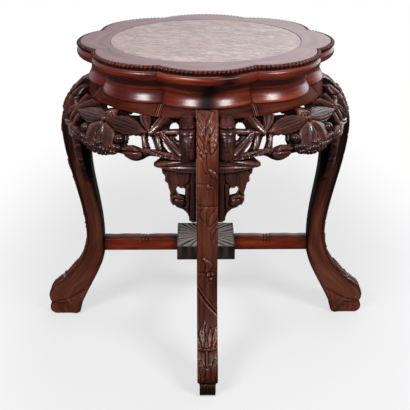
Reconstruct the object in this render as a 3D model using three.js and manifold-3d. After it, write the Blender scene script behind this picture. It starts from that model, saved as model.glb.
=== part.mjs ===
// Four-legged display stand: a lobed hardwood top with an inset marble disc, a moulded waist,
// four pierced aprons with hanging brackets, four cabriole legs and a cross stretcher with a block.
// Millimetres, +Z up. The origin is on the floor under the middle of the top, and the four legs
// stand on the X and Y axes, the front one on -Y.
import * as THREE from 'three';
import { mergeVertices } from 'three/addons/utils/BufferGeometryUtils.js';
import Module from 'manifold-3d';

const wasm = await Module();
wasm.setup();

// Clearances
const fitGap = 0.3;

// Whole stand
const standHeight = 480;
const legNames = ['right', 'back', 'left', 'front'];
const apronNames = ['back_right', 'back_left', 'front_left', 'front_right'];

// Marble disc
const marbleRadius = 150;
const marbleThickness = 14;
const marbleEase = 1;

// Top outline: equal lobes that meet in creases, one over each leg and one between two legs
const lobesPerLeg = 2;
const rimWidth = 51;
const creaseDepth = 16;

// Rim frame round the marble
const rimThickness = 38;
const rimLedge = 18;
const beadBandHeight = 8;
const rimFilletHeight = 4;
const rimEdgeHeight = 24.5;
const rimOverhang = 10.5;

// Battens under the marble
const battenWidth = 30;
const battenThickness = 14;
const battenHold = 13;

// Waist moulding between the rim and the legs
const waistInset = 22;
const waistHeight = 20;
const waistWidth = 34;
const waistSwell = 7;

// Legs
const legWidth = 30.6;
const legEdgeRound = 1.8;
const shoulderInset = 11;
const kneeReach = 30;
const kneeDrop = 76;
const ankleInset = 0.5;
const ankleHeight = 155;
const instepReach = 61;
const instepHeight = 52;
const toeReach = 69;
const toeHeight = 30;
const toeNotchHeight = 22;
const toeNotchDepth = 6;
const padWidth = 24;
const postThickness = 38;
const kneeThickness = 44;
const ankleThickness = 28.5;
const footLength = 52.5;
const heelHeight = 11;
const legTenonWidth = 16;
const legTenonThickness = 16;
const legTenonCover = 5;
const legTenonDepthInRim = 10;

// Aprons
const apronDrop = 61;
const apronThickness = 17;
const bandHeight = 14.5;
const bandTopInset = 19;
const bandFlare = 4;
const bandLobing = 0.6;
const panelStep = 3;
const panelReach = 26;
const carvingDepth = 4.5;
const apronTenonLength = 8;
const apronTenonThickness = 8;
const apronTenonHeight = 10;
const apronTenonInset = 4;
const trunkRadius = 11.5;
const trunkOffset = 15;
const trunkSetback = 2;
const trunkFootRise = 3.5;
const trunkTopDrop = 10;

// Brackets under the aprons, one on each side of every leg
const bracketHeight = 105;
const bracketReach = 61;
const bracketThickness = 11;
const bracketSetback = 15;

// Stretcher
const stretcherHeight = 120.5;
const armWidth = 22;
const armHeight = 23;
const armChamfer = 3;
const armTenonLength = 12;
const armTenonWidth = 10;
const armTenonHeight = 13;
const blockSize = 96;
const blockHeight = 25.4;
const blockChamfer = 3;

// Places worked out from the sizes above
const overcut = 1;
const quarterTurn = Math.PI / 2;
const legTurn = (2 * Math.PI) / legNames.length;
const halfApronAngle = legTurn / 2;
const lobeAngle = legTurn / lobesPerLeg;
const lobeTipRadius = marbleRadius + rimWidth;
const ovoloFootRadius = lobeTipRadius - rimOverhang;
const waistNeckRadius = lobeTipRadius - waistInset;
const waistInnerRadius = waistNeckRadius - waistWidth;
const ledgeInnerRadius = marbleRadius - rimLedge;
const rimFoot = standHeight - rimThickness;
const waistTop = rimFoot - fitGap;
const waistFoot = waistTop - waistHeight;
const legTop = waistFoot - fitGap;
const apronFoot = legTop - apronDrop;
const bandFoot = legTop - bandHeight;
const shoulderRadius = lobeTipRadius - shoulderInset;
const kneeRadius = lobeTipRadius + kneeReach;
const kneeHeight = legTop - kneeDrop;
const ankleRadius = lobeTipRadius - ankleInset;
const seatRadius = ankleRadius - ankleThickness;
const postBackRadius = shoulderRadius - postThickness;
const toeRadius = lobeTipRadius + toeReach;
const heelRadius = toeRadius - footLength;
const legTenonRadius = waistNeckRadius - legTenonCover - legTenonThickness / 2;
const seatMargin = 2;
const seatFoot = stretcherHeight - seatMargin;
const seatTop = stretcherHeight + armHeight + seatMargin;
const legSide = legWidth / 2;

const rosewood = { color: 0x6b2a1c, roughness: 0.34, metalness: 0 };
const dustyRosewood = { color: 0x5b4a44, roughness: 0.62, metalness: 0 };
const pinkMarble = { color: 0xbfa9a4, roughness: 0.3, metalness: 0 };

// Solids
function solidOf(geometry) {
  const plain = geometry.clone();
  plain.deleteAttribute('normal');
  plain.deleteAttribute('uv');
  const welded = mergeVertices(plain, 1e-4);
  const vertProperties = new Float32Array(welded.attributes.position.array);
  const triVerts = new Uint32Array(welded.index.array);
  return new wasm.Manifold(new wasm.Mesh({ numProp: 3, vertProperties, triVerts }));
}

function geometryOf(solid) {
  const mesh = solid.getMesh();
  const geometry = new THREE.BufferGeometry();
  geometry.setAttribute('position', new THREE.BufferAttribute(mesh.vertProperties, 3));
  geometry.setIndex(new THREE.BufferAttribute(mesh.triVerts, 1));
  geometry.computeVertexNormals();
  return geometry;
}

function boxSolid(lowX, highX, lowY, highY, lowZ, highZ) {
  const box = new THREE.BoxGeometry(highX - lowX, highY - lowY, highZ - lowZ);
  box.translate((lowX + highX) / 2, (lowY + highY) / 2, (lowZ + highZ) / 2);
  return solidOf(box);
}

function turned(solid, angle) {
  return solid.rotate([0, 0, THREE.MathUtils.radToDeg(angle)]);
}

// Moves every point of a geometry to the place that the function gives for it
function bend(geometry, place) {
  const position = geometry.attributes.position;
  for (let i = 0; i < position.count; i += 1) {
    const [x, y, z] = place(position.getX(i), position.getY(i), position.getZ(i));
    position.setXYZ(i, x, y, z);
  }
  return geometry;
}

function shapeFrom(points) {
  return new THREE.Shape(points.map(([x, y]) => new THREE.Vector2(x, y)));
}

// The lobed outline: arcs struck from a circle of centres, so that an inner line keeps its distance
const creaseRadius = lobeTipRadius - creaseDepth;
const halfLobe = lobeAngle / 2;
const creaseX = creaseRadius * Math.cos(halfLobe);
const creaseSquare = creaseRadius * creaseRadius;
const lobeCentre = (lobeTipRadius * lobeTipRadius - creaseSquare) / (2 * (lobeTipRadius - creaseX));

function lobedRadius(axisRadius, angle) {
  const fromTip = angle - lobeAngle * Math.round(angle / lobeAngle);
  const arc = axisRadius - lobeCentre;
  const across = lobeCentre * Math.sin(fromTip);
  return lobeCentre * Math.cos(fromTip) + Math.sqrt(arc * arc - across * across);
}

function polar(radius, angle, height) {
  return [radius * Math.cos(angle), radius * Math.sin(angle), height];
}

// One mitred piece of a moulding: the section is swept over one lobe, round inside, lobed outside
function mouldingSegment(section, roundLimit, steps) {
  const sweep = lobeAngle - fitGap / creaseRadius;
  const options = { depth: sweep, steps, bevelEnabled: false };
  const strip = new THREE.ExtrudeGeometry(shapeFrom(section), options);
  return bend(strip, (radius, height, along) => {
    const angle = sweep / 2 - along;
    const reach = radius <= roundLimit ? radius : lobedRadius(radius, angle);
    return polar(reach, angle, height);
  });
}

function rimSection() {
  const ledgeRadius = marbleRadius + fitGap;
  const ledgeHeight = standHeight - marbleThickness - fitGap;
  const beadFoot = standHeight - beadBandHeight;
  const ovoloTop = beadFoot - rimFilletHeight;
  const edgeFoot = standHeight - rimEdgeHeight;
  const filletRadius = lobeTipRadius - 0.5;
  const section = [
    [ledgeInnerRadius, rimFoot],
    [ledgeInnerRadius, ledgeHeight],
    [ledgeRadius, ledgeHeight],
    [ledgeRadius, standHeight],
    [lobeTipRadius - 2.5, standHeight],
    [lobeTipRadius, standHeight - beadBandHeight * 0.3],
    [lobeTipRadius, standHeight - beadBandHeight * 0.7],
    [lobeTipRadius - 2, beadFoot],
    [filletRadius, beadFoot - rimFilletHeight * 0.5],
  ];
  const ovoloSteps = 4;
  for (let i = 0; i <= ovoloSteps; i += 1) {
    const turn = (i / ovoloSteps) * quarterTurn;
    const reach = ovoloFootRadius + (filletRadius - ovoloFootRadius) * Math.cos(turn);
    section.push([reach, ovoloTop - (ovoloTop - edgeFoot) * Math.sin(turn)]);
  }
  section.push([waistNeckRadius, edgeFoot], [waistNeckRadius, rimFoot]);
  return section;
}

function waistSection() {
  const swell = (share) => waistNeckRadius + waistSwell * share;
  const rise = (share) => waistFoot + waistHeight * share;
  return [
    [waistInnerRadius, waistFoot],
    [waistInnerRadius, waistTop],
    [waistNeckRadius, waistTop],
    [swell(0.12), rise(0.82)],
    [swell(0.5), rise(0.62)],
    [swell(0.93), rise(0.42)],
    [swell(1), rise(0.24)],
    [swell(0.86), rise(0.1)],
    [swell(0.5), waistFoot],
  ];
}

function legTenonCut(growth) {
  const half = legTenonThickness / 2 + growth;
  const side = legTenonWidth / 2 + growth;
  const top = rimFoot + legTenonDepthInRim + growth;
  return boxSolid(legTenonRadius - half, legTenonRadius + half, -side, side, legTop - overcut, top);
}

const segmentSteps = 8;
const marbleFoot = standHeight - marbleThickness;
const battenTop = marbleFoot - fitGap;
const battenFoot = battenTop - battenThickness;
const battenEnd = ledgeInnerRadius + battenHold;

function rimSegment(overLeg) {
  const roundLimit = marbleRadius + 2 * fitGap;
  const strip = solidOf(mouldingSegment(rimSection(), roundLimit, segmentSteps));
  if (overLeg) {
    return geometryOf(strip.subtract(legTenonCut(fitGap)));
  }
  const side = battenWidth / 2 + fitGap;
  const end = battenEnd + fitGap;
  const slot = boxSolid(0, end, -side, side, battenFoot - fitGap, battenTop + overcut);
  return geometryOf(strip.subtract(slot));
}

function waistSegment(overLeg) {
  const strip = mouldingSegment(waistSection(), waistInnerRadius, segmentSteps);
  if (!overLeg) {
    return strip;
  }
  return geometryOf(solidOf(strip).subtract(legTenonCut(fitGap)));
}

function batten(lapOnTop) {
  const side = battenWidth / 2;
  const middle = (battenTop + battenFoot) / 2;
  const lap = side + fitGap;
  const bar = boxSolid(-battenEnd, battenEnd, -side, side, battenFoot, battenTop);
  const low = lapOnTop ? middle - fitGap / 2 : battenFoot - overcut;
  const high = lapOnTop ? battenTop + overcut : middle + fitGap / 2;
  const notch = boxSolid(-lap, lap, -side - overcut, side + overcut, low, high);
  return geometryOf(bar.subtract(notch));
}

function marbleSlab() {
  const section = [
    [0, marbleFoot],
    [marbleRadius, marbleFoot],
    [marbleRadius, standHeight - marbleEase],
    [marbleRadius - marbleEase, standHeight],
    [0, standHeight],
  ];
  const facets = 48;
  const points = section.map(([x, y]) => new THREE.Vector2(x, y));
  return new THREE.LatheGeometry(points, facets).rotateX(quarterTurn);
}

// The leg's front edge from shoulder to ankle, in radius and height
function curveBetween(start, startHandle, endHandle, end) {
  const corners = [start, startHandle, endHandle, end].map(([x, y]) => new THREE.Vector2(x, y));
  return new THREE.CubicBezierCurve(...corners);
}

function mix(low, high, share) {
  return low + (high - low) * share;
}

const kneeToAnkle = kneeHeight - ankleHeight;
const shoulderCurve = curveBetween(
  [shoulderRadius, legTop],
  [mix(shoulderRadius, kneeRadius, 0.44), legTop - kneeDrop * 0.12],
  [kneeRadius, legTop - kneeDrop * 0.6],
  [kneeRadius, kneeHeight],
);
const calfCurve = curveBetween(
  [kneeRadius, kneeHeight],
  [kneeRadius, kneeHeight - kneeToAnkle * 0.32],
  [ankleRadius, ankleHeight + kneeToAnkle * 0.29],
  [ankleRadius, ankleHeight],
);

// The share from 0 to 1 at which a rising function reaches a value
function shareAt(rising, value) {
  let low = 0;
  let high = 1;
  for (let i = 0; i < 30; i += 1) {
    const middle = (low + high) / 2;
    if (rising(middle) < value) {
      low = middle;
    } else {
      high = middle;
    }
  }
  return low;
}

function radiusAt(fallingCurve, height) {
  return fallingCurve.getPoint(shareAt((share) => -fallingCurve.getPoint(share).y, -height)).x;
}

function legFrontRadius(height) {
  return radiusAt(height > kneeHeight ? shoulderCurve : calfCurve, height);
}

function legOutline() {
  const instepRadius = lobeTipRadius + instepReach;
  const shape = new THREE.Shape();
  const addCurve = (curve, steps) => {
    curve.getPoints(steps).slice(1).forEach((point) => shape.lineTo(point.x, point.y));
  };
  shape.moveTo(shoulderRadius, legTop);
  addCurve(shoulderCurve, 7);
  addCurve(calfCurve, 10);
  addCurve(curveBetween(
    [ankleRadius, ankleHeight],
    [ankleRadius, mix(ankleHeight, instepHeight, 0.5)],
    [mix(ankleRadius, instepRadius, 0.6), mix(ankleHeight, instepHeight, 0.82)],
    [instepRadius, instepHeight],
  ), 8);
  shape.lineTo(mix(instepRadius, toeRadius, 0.75), mix(instepHeight, toeHeight, 0.5));
  shape.lineTo(toeRadius, toeHeight);
  shape.lineTo(toeRadius - toeNotchDepth, toeNotchHeight);
  shape.lineTo(toeRadius, toeNotchHeight * 0.7);
  shape.lineTo(toeRadius - 1, toeNotchHeight * 0.25);
  shape.lineTo(toeRadius - 8, 0);
  shape.lineTo(heelRadius + 7, 0);
  shape.lineTo(heelRadius + 1, heelHeight * 0.4);
  shape.lineTo(heelRadius, heelHeight);
  addCurve(curveBetween(
    [heelRadius, heelHeight],
    [heelRadius - 6, mix(heelHeight, seatFoot, 0.24)],
    [seatRadius, mix(heelHeight, seatFoot, 0.78)],
    [seatRadius, seatFoot],
  ), 7);
  shape.lineTo(seatRadius, seatTop);
  const calfBack = kneeRadius - kneeThickness;
  const calfBackHeight = mix(seatTop, legTop, 0.52);
  addCurve(curveBetween(
    [seatRadius, seatTop],
    [seatRadius, mix(seatTop, calfBackHeight, 0.38)],
    [calfBack, mix(seatTop, calfBackHeight, 0.72)],
    [calfBack, calfBackHeight],
  ), 7);
  addCurve(curveBetween(
    [calfBack, calfBackHeight],
    [calfBack, mix(calfBackHeight, legTop, 0.42)],
    [postBackRadius, mix(calfBackHeight, legTop, 0.5)],
    [postBackRadius, mix(calfBackHeight, legTop, 0.85)],
  ), 6);
  shape.lineTo(postBackRadius, legTop);
  return shape;
}

// A box for the tongue at one end of an apron, in the frame of the leg that holds it
const apronTenonTop = legTop - apronTenonInset;

function apronTenon(side, growth) {
  const centre = bandTopRadius - apronThickness / 2 + bandFlare * 0.4;
  const half = apronTenonThickness / 2 + growth;
  const tip = legSide - apronTenonLength - growth;
  const root = legSide + apronTenonThickness;
  const low = apronTenonTop - apronTenonHeight - growth;
  const high = apronTenonTop + growth;
  const near = side > 0 ? tip : -root;
  const far = side > 0 ? root : -tip;
  return boxSolid(centre - half, centre + half, near, far, low, high);
}

function armTenon(start, end, growth) {
  const side = armTenonWidth / 2 + growth;
  const middle = stretcherHeight + armHeight / 2;
  const rise = armTenonHeight / 2 + growth;
  return boxSolid(start, end, -side, side, middle - rise, middle + rise);
}

// The leg that stands on +X
function leg() {
  const options = {
    depth: legWidth - 2 * legEdgeRound,
    bevelEnabled: true,
    bevelThickness: legEdgeRound,
    bevelSize: legEdgeRound,
    bevelOffset: -legEdgeRound,
    bevelSegments: 1,
  };
  const board = new THREE.ExtrudeGeometry(legOutline(), options);
  board.translate(0, 0, legEdgeRound - legSide);
  board.rotateX(quarterTurn);
  const padSide = padWidth / 2;
  const padHeel = heelRadius + footLength * 0.3;
  const padToe = toeRadius + overcut;
  let solid = solidOf(board).add(legTenonCut(0));
  solid = solid.subtract(boxSolid(padHeel, padToe, padSide, legWidth, -overcut, toeNotchHeight));
  solid = solid.subtract(boxSolid(padHeel, padToe, -legWidth, -padSide, -overcut, toeNotchHeight));
  solid = solid.subtract(apronTenon(1, fitGap));
  solid = solid.subtract(apronTenon(-1, fitGap));
  const socketEnd = seatRadius + armTenonLength + fitGap;
  solid = solid.subtract(armTenon(seatRadius - overcut, socketEnd, fitGap));
  return geometryOf(solid);
}

// Aprons
const bandTopRadius = lobeTipRadius - bandTopInset;
const bandFootRadius = bandTopRadius + bandFlare;
const panelRadius = lobeTipRadius + panelReach;
const halfPanel = panelRadius * halfApronAngle - legSide;
const panelCurve = curveBetween(
  [bandFootRadius + panelStep, bandFoot],
  [mix(bandFootRadius, panelRadius, 0.45), bandFoot - apronDrop * 0.06],
  [panelRadius, bandFoot - apronDrop * 0.35],
  [panelRadius, apronFoot - 14],
);
const panelLength = panelCurve.getLength();

// The radius and height of a place on the panel: its drop is measured down the panel's curve from
// the band, its lift out from the curve
function panelPlace(drop, lift) {
  const share = Math.max(0, drop / panelLength);
  const point = panelCurve.getPointAt(share);
  const tangent = panelCurve.getTangentAt(share);
  return [point.x - tangent.y * lift, point.y + tangent.x * lift];
}

// The turn from the middle of the apron to a place along from the leg on one side
function panelTurn(along, radius, side) {
  const room = halfApronAngle - Math.asin(legSide / radius);
  return side * room * (along / halfPanel - 1);
}

// How far the carved lower edge hangs below the straight foot, from a leg to the middle of the apron
const hangCurve = new THREE.SplineCurve([
  new THREE.Vector2(0, 0),
  new THREE.Vector2(0.4, 0),
  new THREE.Vector2(0.47, 1.5),
  new THREE.Vector2(0.57, 9),
  new THREE.Vector2(0.68, 11),
  new THREE.Vector2(0.79, 5.5),
  new THREE.Vector2(0.9, 9.5),
  new THREE.Vector2(1, 10),
]);

function hangAt(angle) {
  const fromLeg = 1 - Math.abs(angle) / halfApronAngle;
  const share = shareAt((step) => hangCurve.getPoint(step).x, fromLeg);
  return Math.max(0, hangCurve.getPoint(share).y);
}

// The band is lobed at its top and round at its foot, as the panel is
function apronRadius(height, angle) {
  if (height < bandFoot) {
    return radiusAt(panelCurve, height);
  }
  const flare = (legTop - height) / bandHeight;
  const round = bandTopRadius + bandFlare * flare;
  return mix(round, lobedRadius(round, angle - halfApronAngle), bandLobing * (1 - flare));
}

const bandSteps = 2;
const panelRows = 4;
const apronSteps = 16;

// The apron before it is carved and pierced, across +X. Its section is drawn as the front or back
// face and a count of rows up from the foot, and each row then goes to its height at each angle. The
// front of the panel is the ground of the carving, under the panel's curve.
function apronBlank() {
  const bandLine = panelRows + 0.05;
  const topRow = panelRows + bandSteps;
  const front = [];
  for (let row = 0; row <= panelRows; row += 1) {
    front.push([1, row]);
  }
  front.push([1, bandLine]);
  for (let row = panelRows + 1; row <= topRow; row += 1) {
    front.push([1, row]);
  }
  const back = [topRow, panelRows, panelRows / 2, 0].map((row) => [0, row]);
  const options = { depth: legTurn, steps: apronSteps, bevelEnabled: false };
  const strip = new THREE.ExtrudeGeometry(shapeFrom([...front, ...back]), options);
  return bend(strip, (face, row, along) => {
    const angle = halfApronAngle - along;
    const foot = apronFoot - hangAt(angle);
    const inBand = row > panelRows;
    if (face > 0.5 && !inBand) {
      const footShare = shareAt((share) => -panelCurve.getPointAt(share).y, -foot);
      const drop = panelLength * footShare * (1 - row / panelRows);
      const [radius, height] = panelPlace(drop, -carvingDepth);
      return polar(radius, angle, Math.max(height, foot));
    }
    const bandLevel = mix(bandFoot, legTop - fitGap, (row - bandLine) / (topRow - bandLine));
    const height = inBand ? bandLevel : mix(foot, bandFoot, row / panelRows);
    return polar(apronRadius(height, angle) - (1 - face) * apronThickness, angle, height);
  });
}

// Pierced openings of half an apron, each an outline through places along from the leg and down
const piercings = [
  [[29, 19], [30, 10], [37, 2], [43, 2], [50, 13], [50, 21]],
  [[26, 37], [27, 27], [33, 27], [38, 31], [31, 38]],
  [[37, 55], [45, 43], [54, 34], [58, 38], [53, 49]],
  [[62, 53], [66, 43], [75, 28], [80, 31], [76, 42], [70, 52]],
  [[81, 52], [83, 42], [89, 32], [101, 32], [109, 38], [108, 50], [98, 50]],
  [[108, 1], [134, 0.5], [138, 2], [130, 6], [117, 6]],
];

function piercing(outline, side) {
  const mirrored = outline.map(([along, drop]) => [-along * side, drop]);
  const prism = new THREE.ExtrudeGeometry(shapeFrom(mirrored), { depth: 1, bevelEnabled: false });
  return bend(prism, (along, drop, depth) => {
    const [radius, height] = panelPlace(drop, -carvingDepth);
    const angle = panelTurn(-along * side, radius, side);
    return polar(mix(ledgeInnerRadius, toeRadius, depth), angle, height);
  });
}

// Raised forms of half an apron: the lift of the crown over the panel's curve, then a route through
// places along from the leg and down, with half the width there
const leafForms = [
  // The broad ridged leaf
  { crown: 1, route: [[158, 19, 5], [140, 14, 12], [112, 17, 13], [90, 23, 8.5], [77, 27, 2]] },
  // Bamboo blades
  { crown: 0, route: [[57, 0, 7], [64, 14, 6.4], [73, 31, 3.4]] },
  { crown: 0, route: [[100, 0, 6.4], [90, 11, 6], [77, 26, 3.2]] },
  { crown: -0.5, route: [[52, 30, 4], [38, 43, 6], [27, 55, 6]] },
  { crown: -0.5, route: [[27, 23, 4.2], [46, 24, 4.2], [70, 28, 3]] },
  { crown: 0, route: [[26, 57, 3.2], [46, 57, 4], [72, 55, 4], [86, 56, 2]] },
  // The stem between two openings
  { crown: -1.5, route: [[64, 26, 4.5], [62, 40, 4.5], [60, 55, 4.5]] },
  // The vine's top leaf, its leaf over the grapes and its bud
  { crown: 1.5, route: [[168, 4, 7], [158, 12, 9], [150, 27, 3]] },
  { crown: 1, route: [[150, 27, 5], [147, 41, 15], [143, 55, 7]] },
  { crown: 1.5, route: [[82, 60, 3], [91, 60, 8.5], [108, 62, 8.5], [116, 62, 4]] },
];
// Each grape's place along from the leg and down, and its radius
const grapes = [[121, 41, 8], [121, 57, 6.5], [133, 61, 6.5], [145, 62, 6], [156, 64, 6.5]];
const formRoot = carvingDepth + 1.5;
const grapeCrown = 1.5;

function panelPoint(along, drop, lift, side) {
  const [radius, height] = panelPlace(drop, lift);
  return polar(radius, panelTurn(along, radius, side), height);
}

function leafForm(form, side) {
  const last = form.route.length - 1;
  const section = shapeFrom([[-1, 0], [1, 0], [0.45, 1], [-0.45, 1]]);
  const options = { depth: last, steps: last, bevelEnabled: false };
  const loft = new THREE.ExtrudeGeometry(section, options);
  return bend(loft, (across, rise, step) => {
    const i = Math.round(step);
    const [along, drop, halfWidth] = form.route[i];
    const before = form.route[Math.max(0, i - 1)];
    const after = form.route[Math.min(last, i + 1)];
    const way = new THREE.Vector2(after[0] - before[0], after[1] - before[1]).normalize();
    const aside = across * halfWidth * side;
    const lift = mix(-formRoot, form.crown, rise);
    return panelPoint(along + aside * way.y, drop - aside * way.x, lift, side);
  });
}

function grape([along, drop, radius], side) {
  const berry = new THREE.IcosahedronGeometry(radius, 0);
  return berry.translate(...panelPoint(along, drop, grapeCrown - radius, side));
}

// A bamboo stem carved beside the leg, which follows the leg's front edge
function trunk(side) {
  const points = [];
  const low = apronFoot + trunkFootRise;
  const high = legTop - trunkTopDrop;
  const count = 5;
  for (let i = 0; i < count; i += 1) {
    const height = mix(low, high, i / (count - 1));
    points.push(new THREE.Vector3(legFrontRadius(height) - trunkSetback - trunkRadius, 0, height));
  }
  const section = new THREE.Shape();
  section.absarc(0, 0, trunkRadius, 0, 2 * Math.PI);
  const extrudePath = new THREE.CatmullRomCurve3(points);
  const stem = new THREE.ExtrudeGeometry(section, { steps: 6, extrudePath, curveSegments: 5 });
  stem.translate(0, -side * (legSide + trunkOffset), 0);
  return turned(solidOf(stem), side * halfApronAngle);
}

function apron() {
  let solid = solidOf(apronBlank());
  for (const side of [1, -1]) {
    solid = solid.add(trunk(side));
    for (const form of leafForms) {
      solid = solid.add(solidOf(leafForm(form, side)));
    }
    for (const place of grapes) {
      solid = solid.add(solidOf(grape(place, side)));
    }
    for (const outline of piercings) {
      solid = solid.subtract(solidOf(piercing(outline, side)));
    }
  }
  for (const side of [1, -1]) {
    const room = legSide + fitGap;
    const legRoom = boxSolid(overcut, 2 * lobeTipRadius, -room, room, -overcut, standHeight);
    solid = solid.subtract(turned(legRoom, side * halfApronAngle));
    solid = solid.add(turned(apronTenon(-side, 0), side * halfApronAngle));
  }
  return geometryOf(solid);
}

// Brackets: the outline is given as shares of the reach from the leg and of the drop from the apron
function bracketOutline(side) {
  const at = (x, y) => new THREE.Vector2(side * (legSide + fitGap + x * bracketReach), y * bracketHeight);
  const shape = new THREE.Shape();
  shape.moveTo(at(0, 0).x, at(0, 0).y);
  for (const drop of [-0.17, -0.34, -0.5, -0.67, -0.84, -1]) {
    shape.lineTo(at(0, drop).x, at(0, drop).y);
  }
  const outer = [
    [0.17, -0.985], [0.25, -0.93], [0.2, -0.85], [0.24, -0.765], [0.4, -0.735], [0.56, -0.69],
    [0.64, -0.6], [0.62, -0.5], [0.66, -0.42], [0.7, -0.39], [0.68, -0.35], [0.76, -0.31],
    [0.74, -0.26], [0.82, -0.2], [0.8, -0.15], [1, -0.11], [0.68, 0], [0.35, 0],
  ];
  outer.forEach(([x, y]) => shape.lineTo(at(x, y).x, at(x, y).y));
  const hole = new THREE.Path();
  const inner = [[0.27, -0.56], [0.28, -0.41], [0.42, -0.395], [0.5, -0.47], [0.46, -0.55]];
  hole.setFromPoints(inner.map(([x, y]) => at(x, y)));
  shape.holes.push(hole);
  return shape;
}

function bracket(side) {
  const options = { depth: bracketThickness, bevelEnabled: false };
  const plate = new THREE.ExtrudeGeometry(bracketOutline(side), options);
  return bend(plate, (across, drop, depth) => {
    const height = apronFoot - fitGap + drop;
    const reach = legFrontRadius(height) - bracketSetback;
    return [Math.sqrt(reach * reach - across * across) - bracketThickness + depth, across, height];
  });
}

// Stretcher
function stretcherArm() {
  const side = armWidth / 2;
  const top = stretcherHeight + armHeight;
  const section = shapeFrom([
    [-side, stretcherHeight], [side, stretcherHeight], [side, top - armChamfer],
    [side - armChamfer, top], [armChamfer - side, top], [-side, top - armChamfer],
  ]);
  const start = blockSize / 2 + fitGap;
  const end = seatRadius - fitGap;
  const bar = new THREE.ExtrudeGeometry(section, { depth: end - start, bevelEnabled: false });
  bar.rotateX(quarterTurn).rotateZ(quarterTurn).translate(start, 0, 0);
  const tenon = armTenon(start - armTenonLength, end + armTenonLength, 0);
  return geometryOf(solidOf(bar).add(tenon));
}

function stretcherBlock() {
  const half = blockSize / 2 - blockChamfer;
  const outline = shapeFrom([[-half, -half], [half, -half], [half, half], [-half, half]]);
  const options = {
    depth: blockHeight - 2 * blockChamfer,
    bevelThickness: blockChamfer,
    bevelSize: blockChamfer,
    bevelSegments: 2,
  };
  const block = new THREE.ExtrudeGeometry(outline, options);
  block.translate(0, 0, stretcherHeight + blockChamfer);
  let solid = solidOf(block);
  const socket = armTenon(blockSize / 2 - armTenonLength - fitGap, blockSize, fitGap);
  for (let i = 0; i < legNames.length; i += 1) {
    solid = solid.subtract(turned(socket, i * legTurn));
  }
  return geometryOf(solid);
}

// The stand, as its pieces lie
const stand = new THREE.Group();

function addPiece(name, geometry, finish, turn) {
  const mesh = new THREE.Mesh(geometry, new THREE.MeshStandardMaterial(finish));
  mesh.name = name;
  mesh.rotation.z = turn;
  stand.add(mesh);
}

addPiece('marble_slab', marbleSlab(), pinkMarble, 0);
addPiece('marble_batten_lower', batten(true), rosewood, lobeAngle);
addPiece('marble_batten_upper', batten(false), rosewood, lobeAngle + quarterTurn);

const overLegPieces = [rimSegment(true), waistSegment(true)];
const betweenLegPieces = [rimSegment(false), waistSegment(false)];
for (let i = 0; i < lobesPerLeg * legNames.length; i += 1) {
  const [rimPiece, waistPiece] = i % lobesPerLeg === 0 ? overLegPieces : betweenLegPieces;
  addPiece(`rim_segment_${i + 1}`, rimPiece, rosewood, i * lobeAngle);
  addPiece(`waist_segment_${i + 1}`, waistPiece, rosewood, i * lobeAngle);
}

const legPiece = leg();
const apronPiece = apron();
const bracketPieces = [bracket(1), bracket(-1)];
const armPiece = stretcherArm();
for (let i = 0; i < legNames.length; i += 1) {
  const turn = i * legTurn;
  addPiece(`leg_${legNames[i]}`, legPiece, rosewood, turn);
  addPiece(`apron_${apronNames[i]}`, apronPiece, rosewood, turn + halfApronAngle);
  addPiece(`bracket_${legNames[i]}_a`, bracketPieces[0], rosewood, turn);
  addPiece(`bracket_${legNames[i]}_b`, bracketPieces[1], rosewood, turn);
  addPiece(`stretcher_arm_${legNames[i]}`, armPiece, rosewood, turn);
}
addPiece('stretcher_block', stretcherBlock(), dustyRosewood, 0);

export default stand;
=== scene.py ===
"""Looks of a low four-legged display stand: carved, stained and polished rosewood round a marble
disc. Shapes are worked out in millimetres in the stand's own frame, +Z up, with the front leg on -Y,
and become metres when a piece is made."""

import math

import bmesh
import bpy
import numpy as np
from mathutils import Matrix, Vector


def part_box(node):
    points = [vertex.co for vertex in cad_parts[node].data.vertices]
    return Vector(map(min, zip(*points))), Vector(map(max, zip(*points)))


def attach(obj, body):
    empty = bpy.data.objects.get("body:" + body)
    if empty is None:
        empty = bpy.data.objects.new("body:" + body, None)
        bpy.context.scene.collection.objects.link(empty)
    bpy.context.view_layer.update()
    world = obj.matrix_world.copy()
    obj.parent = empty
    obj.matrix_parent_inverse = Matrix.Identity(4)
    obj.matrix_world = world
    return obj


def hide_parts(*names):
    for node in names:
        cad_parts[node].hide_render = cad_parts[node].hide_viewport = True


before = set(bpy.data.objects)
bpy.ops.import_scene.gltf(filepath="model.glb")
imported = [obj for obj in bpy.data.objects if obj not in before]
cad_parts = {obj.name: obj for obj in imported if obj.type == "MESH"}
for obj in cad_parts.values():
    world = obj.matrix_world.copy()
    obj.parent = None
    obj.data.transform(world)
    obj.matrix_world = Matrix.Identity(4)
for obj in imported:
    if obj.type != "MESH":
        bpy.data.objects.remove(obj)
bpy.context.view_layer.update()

MM = 0.001


# Sizes that the frame gives, in millimetres
def low(node):
    return np.array(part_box(node)[0]) / MM


def high(node):
    return np.array(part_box(node)[1]) / MM


fit_gap = 0.3
rim_lap = 2
leg_names = ("right", "back", "left", "front")
apron_names = ("back_right", "back_left", "front_left", "front_right")
stand_height = high("marble_slab")[2]
marble_radius = high("marble_slab")[0] - rim_lap
marble_foot = low("marble_slab")[2]
rim_tip = high("rim_segment_1")[0]
rim_foot = low("rim_segment_1")[2]
waist_top = high("waist_segment_2")[2]
waist_foot = low("waist_segment_2")[2]
leg_top = waist_foot - fit_gap
leg_side = high("leg_right")[1]
toe_tip = high("leg_right")[0]
block_half = high("stretcher_block")[0]
block_foot = low("stretcher_block")[2]
block_top = high("stretcher_block")[2]
arm_half = high("stretcher_arm_right")[1]
arm_foot = low("stretcher_arm_right")[2]
arm_top = high("stretcher_arm_right")[2]
bracket_top = high("bracket_right_a")[2]

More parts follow.
